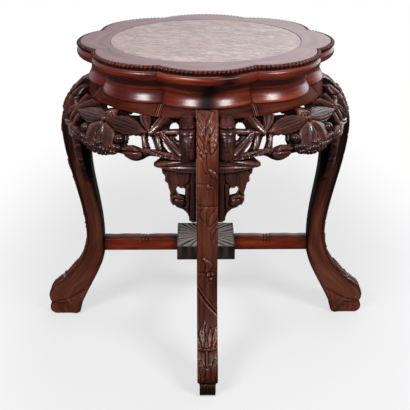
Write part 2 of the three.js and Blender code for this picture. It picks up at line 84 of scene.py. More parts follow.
# Sizes of the mouldings and boards, in millimetres
crease_depth = 16
rim_ledge = 18
rim_overhang = 10.5
rim_edge = 24.5
bead_band = 8
rim_fillet = 4
waist_inset = 22
waist_width = 34
waist_swell = 7
band_height = 14.5
band_inset = 19
band_flare = 4
band_lobing = 0.6
panel_step = 3
panel_reach = 26
apron_drop = 61
board_thickness = 17

# Places worked out from the sizes above
LOBE = math.radians(45)
QUARTER = math.radians(90)
crease_radius = rim_tip - crease_depth
lobe_sweep = LOBE - fit_gap / crease_radius
lobe_centre = (rim_tip**2 - crease_radius**2) / (
    2 * (rim_tip - crease_radius * math.cos(LOBE / 2))
)
ovolo_foot = rim_tip - rim_overhang
waist_neck = rim_tip - waist_inset
band_foot = leg_top - band_height
band_top_radius = rim_tip - band_inset
band_foot_radius = band_top_radius + band_flare
panel_radius = rim_tip + panel_reach


def stacked(*axes):
    """Points from their coordinates, which may be arrays of unlike shapes or numbers."""
    return np.stack(np.broadcast_arrays(*axes), -1)


def about_axis(reach, angle, level):
    """Points of the stand from their reach from its axis, their angle round it and their level."""
    return stacked(reach * np.cos(angle), reach * np.sin(angle), level)


def lobed(axis_radius, angle):
    """The lobed outline: arcs struck from a circle of centres, one lobe in every 45 degrees."""
    from_tip = angle - LOBE * np.round(angle / LOBE)
    arc = axis_radius - lobe_centre
    across = lobe_centre * np.sin(from_tip)
    return lobe_centre * np.cos(from_tip) + np.sqrt(arc * arc - across * across)


def bezier(corners, count):
    """Points on a cubic curve between its first and last corner."""
    t = np.linspace(0, 1, count)[:, None]
    start, first, second, end = (np.array(corner, float) for corner in corners)
    near = start * (1 - t) ** 3 + first * 3 * t * (1 - t) ** 2
    return near + second * 3 * t * t * (1 - t) + end * t**3


def arc(centre, radius, start, end, count):
    """Points on an arc of a section, between angles in degrees from the outward side and up."""
    turn = np.radians(np.linspace(start, end, count))
    return stacked(centre[0] + radius * np.cos(turn), centre[1] + radius * np.sin(turn))


def smooth_line(points, steps):
    """A smooth curve through the points, with that many steps from each point to the next."""
    points = np.array(points, float)
    before = np.vstack([2 * points[0] - points[1], points[:-1]])
    after = np.vstack([points[1:], 2 * points[-1] - points[-2]])
    slope = (after - before) / 2
    line = []
    for i in range(len(points) - 1):
        for t in np.arange(steps) / steps:
            line.append(
                points[i] * (1 + 2 * t) * (1 - t) ** 2
                + slope[i] * t * (1 - t) ** 2
                + points[i + 1] * t * t * (3 - 2 * t)
                - slope[i + 1] * t * t * (1 - t)
            )
    return np.vstack([line, points[-1:]])


def lengths(line):
    """How far along the line each of its points is."""
    steps = np.hypot(*np.diff(line, axis=0).T)
    return np.concatenate([[0], np.cumsum(steps)])


def evenly(line, count):
    """The same line with its points at even distances."""
    along = lengths(line)
    places = np.linspace(0, along[-1], count)
    return np.stack([np.interp(places, along, axis) for axis in line.T], -1)


def bell(offset, width):
    """1 at no offset, and less on both sides of it, down to a third at the width."""
    return np.exp(-((offset / width) ** 2))


def ease(value, low_end, high_end):
    """0 at one end of the range, 1 at the other, with a smooth start and stop."""
    share = np.clip((value - low_end) / (high_end - low_end), 0, 1)
    return share * share * (3 - 2 * share)


# Materials
def linear(hex_colour):
    """An sRGB hex colour as the linear colour that the shader works in."""
    colour = []
    for i in (1, 3, 5):
        value = int(hex_colour[i:i + 2], 16) / 255
        colour.append(value / 12.92 if value <= 0.04045 else ((value + 0.055) / 1.055) ** 2.4)
    return (*colour, 1)


def add_node(tree, kind, inputs=(), **settings):
    """Adds a shader node. Inputs come in the node's own order, or by name or number. Each is a value,
    an output to link, or a node whose first output is linked."""
    new = tree.nodes.new("ShaderNode" + kind)
    for name, value in settings.items():
        setattr(new, name, value)
    if not isinstance(inputs, dict):
        inputs = dict(enumerate(inputs))
    for name, value in inputs.items():
        if isinstance(value, bpy.types.Node):
            value = value.outputs[0]
        if isinstance(value, bpy.types.NodeSocket):
            tree.links.new(value, new.inputs[name])
        else:
            new.inputs[name].default_value = value
    return new


def new_material(name):
    material = bpy.data.materials.new(name)
    material.use_nodes = True
    tree = material.node_tree
    tree.nodes.clear()
    output = add_node(tree, "OutputMaterial")
    return material, tree, output.inputs["Surface"]


def three_tones(tree, share, places, tones):
    """A colour that runs from a dark tone over a middle one to a light one."""
    shades = add_node(tree, "ValToRGB", [share])
    shades.color_ramp.elements.new(places[1])
    for element, place, tone in zip(shades.color_ramp.elements, places, tones):
        element.position = place
        element.color = linear(tone)
    return shades


def covered(tree, colour, layers):
    """A colour with others laid over it in turn, each with the share that it takes of every place."""
    for share, over in layers:
        colour = add_node(
            tree, "Mix", {0: share, 6: colour, 7: linear(over)}, data_type="RGBA"
        ).outputs[2]
    return colour


def polished_rosewood(name, tones, dust, gloss, wear_and_highlight_share, coat, polish, pale_wear_and_highlight="#96563a", glint=0.25):
    """Rosewood, planed or carved, stained red over a dark filler and rubbed with polish. The eye
    sees streaks along the fibres, black filler and painted shade in the hollows, paler crests where
    hands have worn the stain and where highlight is painted, a clear shine over it, and grey dust on
    what faces up. The tones are dark, middle and light."""
    material, tree, surface = new_material(name)
    grain = add_node(tree, "Attribute", attribute_name="grain").outputs["Vector"]
    carving = add_node(tree, "Attribute", attribute_name="carving").outputs["Fac"]
    rubbed = add_node(tree, "Attribute", attribute_name="polish").outputs["Fac"]
    piece = add_node(tree, "ObjectInfo").outputs["Random"]
    shift = add_node(tree, "VectorMath", (piece, (900, 700, 500)), operation="MULTIPLY")
    place = add_node(tree, "VectorMath", (grain, shift), operation="ADD")
    # Streaks are 60 mm long and 3 mm wide, the broad figure 90 by 16 mm, and the pores, which are
    # 0.2 mm wide, are drawn 0.9 mm wide so that they show
    noises = {}
    for pattern, size in (("streak", (60, 3, 3)), ("figure", (90, 16, 16)), ("pore", (9, 0.9, 0.9))):
        per_side = [1 / side for side in size]
        scaled = add_node(tree, "VectorMath", (place, per_side), operation="MULTIPLY")
        noises[pattern] = add_node(tree, "TexNoise", {"Vector": scaled, "Scale": 1, "Detail": 3})
    streaks = add_node(tree, "Math", (noises["streak"], 0.4), operation="MULTIPLY")
    blend = add_node(tree, "Math", (noises["figure"], 0.6, streaks), operation="MULTIPLY_ADD")
    bare = three_tones(tree, blend, (0.36, 0.49, 0.64), tones)

    geometry = add_node(tree, "NewGeometry")
    facing = add_node(tree, "SeparateXYZ", [geometry.outputs["Normal"]]).outputs["Z"]
    # What each share is read from, between which values, and what it is at either of them. The polish
    # doesn't reach the hollows and the unseen sides, and the dust lies only on open wood.
    ranges = {
        "pores": (noises["pore"], 0.56, 0.68, 0, 0.45),
        # The hollow share is dark filler and painted shade together, and the crest share is wear and
        # painted highlight together. The carving that both read also carries painted shade laid on
        # sides, undersides and backs.
        "hollow": (carving, 0, -1, 0, 0.95),
        "crest": (carving, 0.1, 1, 0, wear_and_highlight_share),
        "dust": (facing, 0.7, 1.0, 0, dust),
        "patches": (noises["figure"], 0.3, 0.7, 0.75, 1.1),
        "open wood": (carving, -0.6, 0, 0, 1),
        "shine": (carving, -0.85, -0.1, coat * 0.06, coat),
        "matt": (noises["streak"], 0.3, 0.7, gloss, gloss + 0.1),
    }
    shares = {part: add_node(tree, "MapRange", values) for part, values in ranges.items()}
    settled = shares["dust"]
    for part in ("patches", "open wood"):
        settled = add_node(tree, "Math", (settled, shares[part]), operation="MULTIPLY")
    wood = covered(tree, bare.outputs[0], [
        (shares["pores"], "#1d0b08"), (shares["hollow"], "#0d0605"), (shares["crest"], pale_wear_and_highlight),
        (settled, "#a8a2a5"),
    ])
    shine = add_node(tree, "Math", (shares["shine"], rubbed), operation="MULTIPLY")
    rough = add_node(tree, "Math", (settled, 0.35, shares["matt"]), operation="MULTIPLY_ADD")
    height = add_node(tree, "Math", (noises["pore"], 0.5, noises["streak"]), operation="MULTIPLY_ADD")
    bump = add_node(tree, "Bump", {"Height": height, "Strength": 0.25, "Distance": 0.0005})
    shader = add_node(tree, "BsdfPrincipled", {
        "Base Color": wood, "Roughness": rough, "IOR": 1.5, "Normal": bump, "Specular IOR Level": glint,
        "Coat Weight": shine, "Coat Roughness": polish, "Coat IOR": 1.5,
    })
    tree.links.new(shader.outputs[0], surface)
    return material


def sawn_inner_wood():
    """Plain hardwood battens, sawn and left unpolished, dull and pale brown under the top."""
    material, tree, surface = new_material("sawn_inner_hardwood")
    place = add_node(tree, "TexCoord").outputs["Object"]
    # Saw marks 4 mm apart on a soft figure 30 mm long
    marks = add_node(tree, "TexWave", {"Vector": place, "Scale": 78, "Distortion": 2}).outputs["Fac"]
    figure = add_node(tree, "TexNoise", {"Vector": place, "Scale": 33, "Detail": 4})
    blend = add_node(tree, "Math", (marks, 0.25, figure), operation="MULTIPLY_ADD")
    pale = add_node(tree, "MapRange", (blend, 0.3, 0.9, 0, 1))
    wood = covered(tree, linear("#3b1f15"), [(pale, "#6d4431")])
    bump = add_node(tree, "Bump", {"Height": blend, "Strength": 0.4, "Distance": 0.0006})
    shader = add_node(
        tree, "BsdfPrincipled", {"Base Color": wood, "Roughness": 0.7, "IOR": 1.5, "Normal": bump}
    )
    tree.links.new(shader.outputs[0], surface)
    return material


def pink_marble():
    """Marble, sawn and honed to a low polish: cloudy pinks and greys with paler crystals and veins
    that run one way, as the bed of the stone does."""
    material, tree, surface = new_material("honed_pink_marble")
    place = add_node(tree, "TexCoord").outputs["Object"]
    turn = add_node(tree, "Mapping", {"Vector": place, "Rotation": (0, 0, 0.25)})
    # The pattern is drawn out to twice its length one way. Across that way, the clouds are about
    # 40 mm wide, the mottles 14 mm, the crystals 3.5 mm and the winding veins 16 mm apart.
    bed = add_node(tree, "VectorMath", (turn, (0.5, 1.15, 1)), operation="MULTIPLY")
    noises = {}
    for pattern, scale, detail, roughness, distortion in (
        ("clouds", 22, 2, 0.5, 0), ("mottles", 62, 5, 0.62, 1.3),
        ("crystals", 250, 2, 0.7, 0), ("veins", 55, 4, 0.55, 1.6),
    ):
        noises[pattern] = add_node(tree, "TexNoise", {
            "Vector": bed, "Scale": scale, "Detail": detail, "Roughness": roughness,
            "Distortion": distortion,
        })
    bare = three_tones(
        tree, noises["mottles"], (0.36, 0.5, 0.66), ("#9f8a87", "#b8a4a0", "#d6c6bf")
    )
    from_middle = add_node(tree, "Math", (noises["veins"], 0.5), operation="SUBTRACT")
    from_middle = add_node(tree, "Math", [from_middle], operation="ABSOLUTE")
    ranges = {
        "blush": (noises["clouds"], 0.42, 0.62, 0, 0.4),
        "crystals": (noises["crystals"], 0.52, 0.7, 0, 0.5),
        "veins": (from_middle, 0, 0.03, 0.55, 0),
        "matt": (noises["crystals"], 0.3, 0.7, 0.42, 0.55),
    }
    shares = {part: add_node(tree, "MapRange", values) for part, values in ranges.items()}
    stone = covered(tree, bare.outputs[0], [
        (shares["blush"], "#c4a19b"), (shares["crystals"], "#e9dfd8"), (shares["veins"], "#efe5de"),
    ])
    bump = add_node(
        tree, "Bump", {"Height": noises["crystals"], "Strength": 0.12, "Distance": 0.0004}
    )
    shader = add_node(
        tree, "BsdfPrincipled",
        {"Base Color": stone, "Roughness": shares["matt"], "IOR": 1.5, "Normal": bump},
    )
    tree.links.new(shader.outputs[0], surface)
    return material


carved_rosewood = polished_rosewood(
    "carved_rosewood", ("#1d0b0b", "#3f1a16", "#6c342b"),
    dust=0.1, gloss=0.3, wear_and_highlight_share=0.5, coat=0.95, polish=0.19, pale_wear_and_highlight="#8a5040",
)
band_rosewood = polished_rosewood(
    "plain_band_rosewood", ("#34110c", "#5c2118", "#7c3923"),
    dust=0.1, gloss=0.5, wear_and_highlight_share=0.6, coat=0.05, polish=0.4, pale_wear_and_highlight="#9a7566", glint=0.04,
)
moulded_rosewood = polished_rosewood(
    "moulded_rosewood", ("#4a110a", "#7b2415", "#a24523"),
    dust=0.5, gloss=0.34, wear_and_highlight_share=0.2, coat=0.9, polish=0.25,
)
leg_rosewood = polished_rosewood(
    "leg_rosewood", ("#502014", "#713322", "#8f5037"),
    dust=0.2, gloss=0.36, wear_and_highlight_share=0.5, coat=0.5, polish=0.24, pale_wear_and_highlight="#a26a52",
)
arm_rosewood = polished_rosewood(
    "arm_rosewood", ("#7a2210", "#a83a14", "#c85e24"),
    dust=0.2, gloss=0.34, wear_and_highlight_share=0.3, coat=0.5, polish=0.22,
)
dusty_rosewood = polished_rosewood(
    "dusty_rosewood", ("#2f2320", "#453530", "#5d4a42"),
    dust=0.4, gloss=0.55, wear_and_highlight_share=0.85, coat=0.1, polish=0.4, pale_wear_and_highlight="#a89c94",
)


# Making pieces
# Faces that meet at a greater angle than this have an edge between them
sharpest_smooth = math.radians(38)


class Shells:
    """The closed skins that make up one piece, in millimetres. Each has the run of the grain through
    its points, the carving there, from -1 in a hollow to 1 on a crest, with painted shade and
    highlight in it, and the share of polish."""

    def __init__(self):
        self.points = []
        self.faces = []
        self.grain = []
        self.carving = []
        self.polish = []
        self.woods = []
        self.count = 0

    def add(self, points, faces, grain, carving=0.0, polish=1.0, wood=0):
        points = np.asarray(points, float).reshape(-1, 3)
        for group in faces:
            self.faces.extend((np.asarray(group) + self.count).tolist())
            self.woods.extend([wood] * len(group))
        self.points.append(points)
        self.grain.append(np.broadcast_to(np.asarray(grain, float).reshape(-1, 3), points.shape))
        for share, shares in ((carving, self.carving), (polish, self.polish)):
            shares.append(np.broadcast_to(np.asarray(share, float).reshape(-1), len(points)))
        self.count += len(points)


def skin(loops):
    """Faces over loops of points, (loops, points, 3), with a flat cap at each end."""
    index = np.arange(loops.shape[0] * loops.shape[1]).reshape(loops.shape[:2])
    beside = np.roll(index, -1, axis=1)
    quads = np.stack([index[:-1], beside[:-1], beside[1:], index[1:]], -1).reshape(-1, 4)
    return [quads, [index[0][::-1]], [index[-1]]]


def mesh_from(name, shells):
    """A mesh in metres, with the run of the grain, the carving and the polish that the materials
    read at each point."""
    points = np.concatenate(shells.points) * MM
    mesh = bpy.data.meshes.new(name)
    mesh.from_pydata(points.tolist(), [], shells.faces)
    outward = bmesh.new()
    outward.from_mesh(mesh)
    bmesh.ops.recalc_face_normals(outward, faces=outward.faces)
    outward.to_mesh(mesh)
    outward.free()
    mesh.polygons.foreach_set("material_index", shells.woods)
    grain = mesh.attributes.new("grain", "FLOAT_VECTOR", "POINT")
    grain.data.foreach_set("vector", np.concatenate(shells.grain).astype(np.float32).ravel())
    for name, shares in (("carving", shells.carving), ("polish", shells.polish)):
        share = mesh.attributes.new(name, "FLOAT", "POINT")
        share.data.foreach_set("value", np.concatenate(shares).astype(np.float32))
    mesh.shade_smooth()
    mesh.set_sharp_from_angle(angle=sharpest_smooth)
    return mesh


def skin_mesh(name, loops, grain, carving=0.0, polish=1.0):
    """A mesh of one closed skin over loops of points."""
    shells = Shells()
    shells.add(loops, skin(loops), grain, carving, polish)
    return mesh_from(name, shells)


def place_piece(name, mesh, materials, node, turn=0.0):
    """Puts a mesh in the stand in place of a node of the frame, turned about the stand's axis."""
    if not mesh.materials:
        for material in materials:
            mesh.materials.append(material)
    piece = bpy.data.objects.new(name, mesh)
    bpy.context.scene.collection.objects.link(piece)
    piece.rotation_euler = (0, 0, turn)
    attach(piece, "root")
    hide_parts(node)


def place_around(piece_name, node_name, mesh, materials, names=leg_names, first=0.0):
    """Puts a mesh in the stand once for each name, a quarter turn apart."""
    for i, name in enumerate(names):
        turn = (i + first) * QUARTER
        place_piece(piece_name.format(name), mesh, materials, node_name.format(name), turn=turn)


# Carved faces
# Further than any place on a face is from its edge, in millimetres
far = 50.0


class Carving:
    """A carved face on a square grid in millimetres: how high the wood stands above the drawn face,
    and how far inside the wood each place is, which is less than 0 where the board is cut away."""

    def __init__(self, across, down, ground, cut=-far):
        self.x, self.y = np.meshgrid(across, down)
        self.height = np.full(self.x.shape, float(ground))
        self.wood = np.full(self.x.shape, float(cut))
        self.tone = np.zeros(self.x.shape)

    def beside(self, start, side):
        """The share of a straight stretch that each place is level with, and its offset from it."""
        share = ((self.x - start[0]) * side[0] + (self.y - start[1]) * side[1]) / (side @ side)
        share = np.clip(share, 0, 1)
        return share, self.x - start[0] - share * side[0], self.y - start[1] - share * side[1]

    def inside(self, outline):
        """How far each place is inside a closed outline, less than 0 outside it."""
        outline = np.array(outline, float)
        nearest = np.full(self.x.shape, np.inf)
        crossings = np.zeros(self.x.shape, bool)
        for start, end in zip(outline, np.roll(outline, -1, axis=0)):
            side = end - start
            nearest = np.minimum(nearest, np.hypot(*self.beside(start, side)[1:]))
            if start[1] != end[1]:
                spans = (start[1] > self.y) != (end[1] > self.y)
                meets = start[0] + (self.y - start[1]) * side[0] / side[1]
                crossings ^= spans & (self.x < meets)
        return np.where(crossings, nearest, -nearest)

    def along(self, route, widths):
        """For each place: its distance across a route, its share along it, the route's half width
        there and the route's whole length."""
        line = smooth_line(route, 6) if len(route) > 2 else np.array(route, float)
        total = lengths(line)
        nearest = np.full(self.x.shape, np.inf)
        across = np.zeros(self.x.shape)
        share = np.zeros(self.x.shape)
        for i in range(len(line) - 1):
            side = line[i + 1] - line[i]
            step, off_x, off_y = self.beside(line[i], side)
            away = np.hypot(off_x, off_y)
            better = away < nearest
            nearest = np.where(better, away, nearest)
            hand = np.sign(side[0] * off_y - side[1] * off_x)
            across = np.where(better, hand * away, across)
            share = np.where(better, (total[i] + step * (total[i + 1] - total[i])) / total[-1], share)
        half = np.interp(share, np.linspace(0, 1, len(widths)), widths)
        return across, share, half, total[-1]

    def lay(self, inside, height, tone=0.0):
        """Carves a form on the face, with a cut round it that frees it from what lies below. The tone
        is more than 0 where the form is paler and less than 0 where it is darker."""
        cut_width, cut_depth = 1.6, 1.5
        near = np.clip(1 + inside / cut_width, 0, 1)
        around = self.height - cut_depth * near
        self.height = np.where(inside > 0, height, around)
        self.tone = np.where(inside > 0, tone, self.tone)
        self.wood = np.maximum(self.wood, inside)

    def reed(self, route, widths, level, ridges=2, rise=0.8, crown=1.6, lean=0.0, tone=0.0):
        """A long narrow leaf with ridges along it. A lean lifts one side of it, and three levels are
        those of its start, middle and end."""
        across, share, half, _ = self.along(route, widths)
        bow = np.polyfit([0, 0.5, 1], np.broadcast_to(level, 3), 2)
        turn = across / half
        phase = ridges * turn / 2
        facets = 1 - 4 * np.abs(phase - np.round(phase))
        height = np.polyval(bow, share) - crown * turn * turn + rise * facets + lean * turn
        self.lay(half - np.abs(across), height, tone)

    def leaf(self, route, widths, level, veins=5.0, rise=0.7):
        """A leaf with a midrib and side veins, that many millimetres apart, that slant towards its
        tip."""
        crown, midrib_depth, midrib_width = 1.8, 1.1, 0.9
        across, share, half, length = self.along(route, widths)
        turn = np.abs(across) / half
        height = level - crown * turn * turn
        phase = (share * length - 0.9 * turn * half) / veins
        height += rise * (0.5 - np.abs(phase - np.round(phase)) * 2) * np.minimum(1, 2 * turn)
        height -= midrib_depth * bell(across, midrib_width)
        self.lay(half - np.abs(across), height)

    def stem(self, route, widths, level):
        """A round stem."""
        across, _, half, _ = self.along(route, widths)
        round_part = np.sqrt(np.clip(1 - (across / half) ** 2, 0, 1))
        self.lay(half - np.abs(across), level - half * 0.6 * (1 - round_part))

    def bud(self, centre, size, turn, level, ridges=0.0):
        """A round or egg-shaped form, with grooves from end to end if it has ridges."""
        x, y = self.x - centre[0], self.y - centre[1]
        along = (x * math.cos(turn) + y * math.sin(turn)) / size[0]
        across = (y * math.cos(turn) - x * math.sin(turn)) / size[1]
        reach = np.hypot(along, across)
        dome = np.sqrt(np.clip(1 - reach * reach, 0, 1))
        height = level - min(size) * 0.75 * (1 - dome)
        if ridges:
            height += 0.6 * dome * np.cos(math.pi * ridges * across / np.maximum(dome, 0.3))
        self.lay((1 - reach) * min(size), height)

    def groove(self, route, width, depth):
        """A cut line on the face."""
        across, _, _, _ = self.along(route, [width, width])
        self.height -= depth * bell(across, width / 2)

    def round_edges(self, radius):
        """Rounds the wood over at the outline and at the pierced openings."""
        inset = np.clip(radius - self.wood, 0, radius)
        self.height -= radius - np.sqrt(radius * radius - inset * inset)

    def depth_sign(self, spread, scale):
        """-1 in the hollows, 1 on the crests: the height against a copy softened in that many rounds,
        in shares of the scale."""
        soft = self.height
        for _ in range(spread):
            wide = np.pad(soft, 1, mode="edge")
            beside = wide[1:-1, :-2] + wide[1:-1, 2:] + wide[:-2, 1:-1] + wide[2:, 1:-1]
            soft = (2 * soft + beside) / 6
        return np.clip((self.height - soft) / scale, -1, 1)

    def at(self, field, x, y):
        """The value of a field of this face at any places on it."""
        columns, rows = self.x[0], self.y[:, 0]
        before_last = 1.001
        u = np.clip((x - columns[0]) / (columns[1] - columns[0]), 0, len(columns) - before_last)
        v = np.clip((y - rows[0]) / (rows[1] - rows[0]), 0, len(rows) - before_last)
        i, j = u.astype(int), v.astype(int)
        u, v = u - i, v - j
        upper = field[j, i] * (1 - u) + field[j, i + 1] * u
        lower = field[j + 1, i] * (1 - u) + field[j + 1, i + 1] * u
        return upper * (1 - v) + lower * v

    def cells(self):
        """Which cells of the grid are wood, with no two that meet only at a corner."""
        wood = self.wood
        middle = wood[:-1, :-1] + wood[:-1, 1:] + wood[1:, :-1] + wood[1:, 1:]
        solid = middle > 0
        rounds = 4
        for _ in range(rounds):
            a, b, c, d = solid[:-1, :-1], solid[:-1, 1:], solid[1:, :-1], solid[1:, 1:]
            falling = a & d & ~b & ~c
            rising = b & c & ~a & ~d
            solid[:-1, 1:] |= falling
            solid[:-1, :-1] |= rising
        return solid

    def settle_edges(self, solid):
        """Moves the grid's points at the edge of the wood onto the drawn outline."""
        step_x, step_y = abs(self.x[0, 1] - self.x[0, 0]), self.y[1, 0] - self.y[0, 0]
        wide = np.pad(solid, 1)
        around = [wide[:-1, :-1], wide[:-1, 1:], wide[1:, :-1], wide[1:, 1:]]
        total = sum(part.astype(int) for part in around)
        edge = (total > 0) & (total < 4)
        x, y = self.x.copy(), self.y.copy()
        slope_y, slope_x = np.gradient(self.wood, step_y, step_x)
        least_slope, most = 0.2, 0.7
        steep = np.maximum(slope_x**2 + slope_y**2, least_slope)
        move = np.clip(self.wood, -step_x, step_x) / steep
        x[edge] -= np.clip(move * slope_x, -most * step_x, most * step_x)[edge]
        y[edge] -= np.clip(move * slope_y, -most * step_y, most * step_y)[edge]
        return x, y


def board_faces(solid):
    """Faces of a board over the grid's wood cells: front, back and the walls between them."""
    index = np.arange((solid.shape[0] + 1) * (solid.shape[1] + 1))
    index = index.reshape(solid.shape[0] + 1, -1)
    count = index.size
    corners = [index[:-1, :-1], index[:-1, 1:], index[1:, 1:], index[1:, :-1]]
    front = np.stack([corner[solid] for corner in corners], -1)
    wide = np.pad(solid, 1)
    beyond = [wide[:-2, 1:-1], wide[1:-1, 2:], wide[2:, 1:-1], wide[1:-1, :-2]]
    walls = []
    for i in range(4):
        open_side = solid & ~beyond[i]
        start, end = corners[i][open_side], corners[(i + 1) % 4][open_side]
        walls.append(np.stack([end, start, start + count, end + count], -1))
    return front, front[:, ::-1] + count, np.concatenate(walls)


def add_board(shells, carving, front_place, back_place, grain, spread=8, scale=1.1, deep=9.0):
    """Adds a carved board. The places turn a point of the face, and its height, into a point of the
    stand. Wood that lies deeper than a depth, in millimetres, is painted dark with shade, as the
    hollows are."""
    solid = carving.cells()
    x, y = carving.settle_edges(solid)
    back_shade = -0.55
    sign = np.clip(carving.depth_sign(spread, scale) + carving.tone, -1, 1)
    # Painted shade on what lies deep
    sign = np.minimum(sign, 1 - 2 * ease(-carving.height, deep - 2, deep))
    front = front_place(x, y, carving.height).reshape(-1, 3)
    back = back_place(x, y).reshape(-1, 3)
    faces = board_faces(solid)
    used = np.unique(np.concatenate([group.ravel() for group in faces]))
    renumber = np.full(len(front) * 2, -1)
    renumber[used] = np.arange(len(used))
    points = np.concatenate([front, back])[used]
    depth = np.concatenate([sign.ravel(), np.full(sign.size, back_shade)])[used]
    fibres = np.concatenate([grain.reshape(-1, 3)] * 2)[used]
    shells.add(points, [renumber[group] for group in faces], fibres, depth)


def add_ball(shells, centre, radius, around=12, depth=0.1, polish=1.0):
    """Adds a small ball, such as a grape or a bead."""
    flat_pole = 0.94
    lift = np.linspace(-flat_pole, flat_pole, 7)[:, None]
    turn = np.linspace(0, 2 * math.pi, around, endpoint=False)
    loops = about_axis(np.sqrt(1 - lift * lift), turn, lift)
    points = centre + loops * radius
    shells.add(points, skin(loops), points[..., [2, 0, 1]], depth, polish)


# Marble disc
def marble_disc():
    ease_radius = 1.6
    turn = np.linspace(0, 2 * math.pi, 128, endpoint=False)
    eased = arc((marble_radius - ease_radius, stand_height - ease_radius), ease_radius, 0, 90, 5)
    profile = np.array([
        (marble_radius, marble_foot), *eased,
        (marble_radius * 0.9, stand_height), (marble_radius * 0.5, stand_height),
    ])
    loops = about_axis(profile[:, :1], turn, profile[:, 1:])
    place_piece("marble_disc", skin_mesh("marble_disc", loops, loops), [pink_marble()],
                "marble_slab")


# Rim and waist
def moulding_loops(section, round_limit, lobed_limit, steps):
    """A moulding over one lobe, mitred at both ends: round inside one limit and lobed outside the
    other."""
    turn = np.linspace(-lobe_sweep / 2, lobe_sweep / 2, steps)[:, None]
    reach, height = section.T
    share = np.clip((reach - round_limit) / (lobed_limit - round_limit), 0, 1)
    bowed = reach + share * (lobed(np.maximum(reach, round_limit), turn) - reach)
    return about_axis(bowed, turn, height), turn


bead_radius = 3.1
beads_per_lobe = 24
bead_height = stand_height - 3.15
bead_inset = 3.2
ovolo_inset = 0.3
ovolo_radius = 5.6
edge_foot = stand_height - rim_edge


def rim_section():
    """The well for the marble, the flat top, a hollow for the beads along its edge, the ovolo under
    them and the neck."""
    ledge = marble_foot - fit_gap
    ovolo_tip = rim_tip - ovolo_inset
    fullest = stand_height - bead_band - rim_fillet - 2
    upper = arc((ovolo_tip - ovolo_radius, fullest), ovolo_radius, 66, 8, 9)
    turn = np.radians(np.linspace(0, 90, 14))
    lower = stacked(
        ovolo_foot + (ovolo_tip - ovolo_foot) * np.cos(turn),
        fullest - (fullest - edge_foot) * np.sin(turn),
    )
    inner = marble_radius - rim_ledge
    well = marble_radius + fit_gap
    straight = [
        (inner, rim_foot), (inner, ledge), (well, ledge), (well, stand_height - 0.5),
        (well + 0.5, stand_height), (well + 16, stand_height), (rim_tip - 12, stand_height),
        (rim_tip - 7.4, stand_height),
    ]
    lip = arc((rim_tip - 7.2, stand_height - 1.0), 1.0, 80, 0, 4)
    hollow = arc((rim_tip - bead_inset, bead_height), bead_radius - 0.4, 165, 285, 8)
    neck = [
        (ovolo_foot - 1.2, edge_foot - 0.3), (waist_neck + 2.2, edge_foot + 0.4),
        (waist_neck + 0.6, edge_foot - 0.4), (waist_neck, edge_foot - 2.2), (waist_neck, rim_foot),
    ]
    return np.concatenate([straight, lip, hollow, upper, lower, neck])


# The run of the grain for each degree about the axis, in millimetres
rim_degree = 3.3
waist_degree = 3.2


def dark_stain(turn, middle, width):
    """A painted dark reflection, with its middle and width in degrees along the lobe."""
    return bell(np.degrees(turn) - middle, width)


def rim_mesh(name, dark=0.0):
    section = rim_section()
    reach, level = section.T
    loops, turn = moulding_loops(section, marble_radius + 1, rim_tip - 14, steps=61)
    grain = stacked(np.degrees(turn) * rim_degree, lengths(section), 0)
    # Painted shade lies dark in the hollow behind the beads and under the edge
    below_beads = level < stand_height - bead_band
    in_hollow = (reach < rim_tip - 0.8) & (reach > rim_tip - 6.6)
    in_hollow &= (level < stand_height - 2) & (level > stand_height - bead_band + 0.6)
    under = (reach < ovolo_foot) & (reach > waist_neck + 0.5) & below_beads
    depth = np.where(in_hollow, -1, np.where(under, -0.9, 0)) * np.ones(loops.shape[:2])
    # A painted dark reflection lies to one side on the ovolo and near the middle of the lobe under it
    middle = np.where(level < edge_foot + 3, 1.5, 9)
    patch = (reach > waist_neck - 1) & below_beads
    depth = np.clip(depth - dark * patch * dark_stain(turn, middle, 4), -1, 1)
    # The flat top is rubbed less than the edge
    rubbed = np.where(level > stand_height - 0.6, 0.45, 1.0) * np.ones(depth.shape)
    shells = Shells()
    shells.add(loops, skin(loops), grain, depth, rubbed)
    for i in range(beads_per_lobe):
        angle = lobe_sweep * ((i + 0.5) / beads_per_lobe - 0.5)
        centre = about_axis(lobed(rim_tip - bead_inset, angle), angle, bead_height)
        add_ball(shells, centre, bead_radius, around=10, depth=-0.75, polish=2.5)
    return mesh_from(name, shells)


# The waist's face: shares of its swell, and of its height
waist_face = [
    (0, 1), (0.03, 0.85), (0.12, 0.7), (0.3, 0.55), (0.5, 0.42), (0.68, 0.3), (0.83, 0.2),
    (0.94, 0.1), (0.96, 0.03), (0.8, 0),
]


def waist_mesh(name, dark=0.0):
    back = waist_neck - waist_width
    rise = waist_top - waist_foot
    face = smooth_line([
        (waist_neck + waist_swell * out, waist_foot + rise * up) for out, up in waist_face
    ], 4)
    section = np.concatenate([[(back, waist_foot), (back, waist_top)], face])
    loops, turn = moulding_loops(section, back, back + 10, steps=49)
    grain = stacked(np.degrees(turn) * waist_degree, lengths(section), 0)
    # The mitres hold dark filler
    ends = np.abs(np.abs(turn) - LOBE / 2) < math.radians(0.5)
    depth = np.where(ends, -0.7, 0.0) * np.ones(loops.shape[:2])
    # A painted dark reflection near the middle of the lobe
    depth = np.clip(depth - dark * dark_stain(turn, 0, 4.4), -1, 1)
    return skin_mesh(name, loops, grain, depth)


def top_frame():
    rims = [rim_mesh("rim_segment")] * 8
    waists = [waist_mesh("waist_segment")] * 8
    front_lobe = 6
    # The front lobe's rim and waist carry a painted dark reflection
    rims[front_lobe] = rim_mesh("dark_reflection_rim_segment", dark=0.9)
    waists[front_lobe] = waist_mesh("dark_reflection_waist_segment", dark=1.1)
    for i in range(8):
        for kind, meshes in (("rim", rims), ("waist", waists)):
            place_piece(f"{kind}_moulding_{i + 1}", meshes[i], [moulded_rosewood],
                        f"{kind}_segment_{i + 1}", turn=i * LOBE)


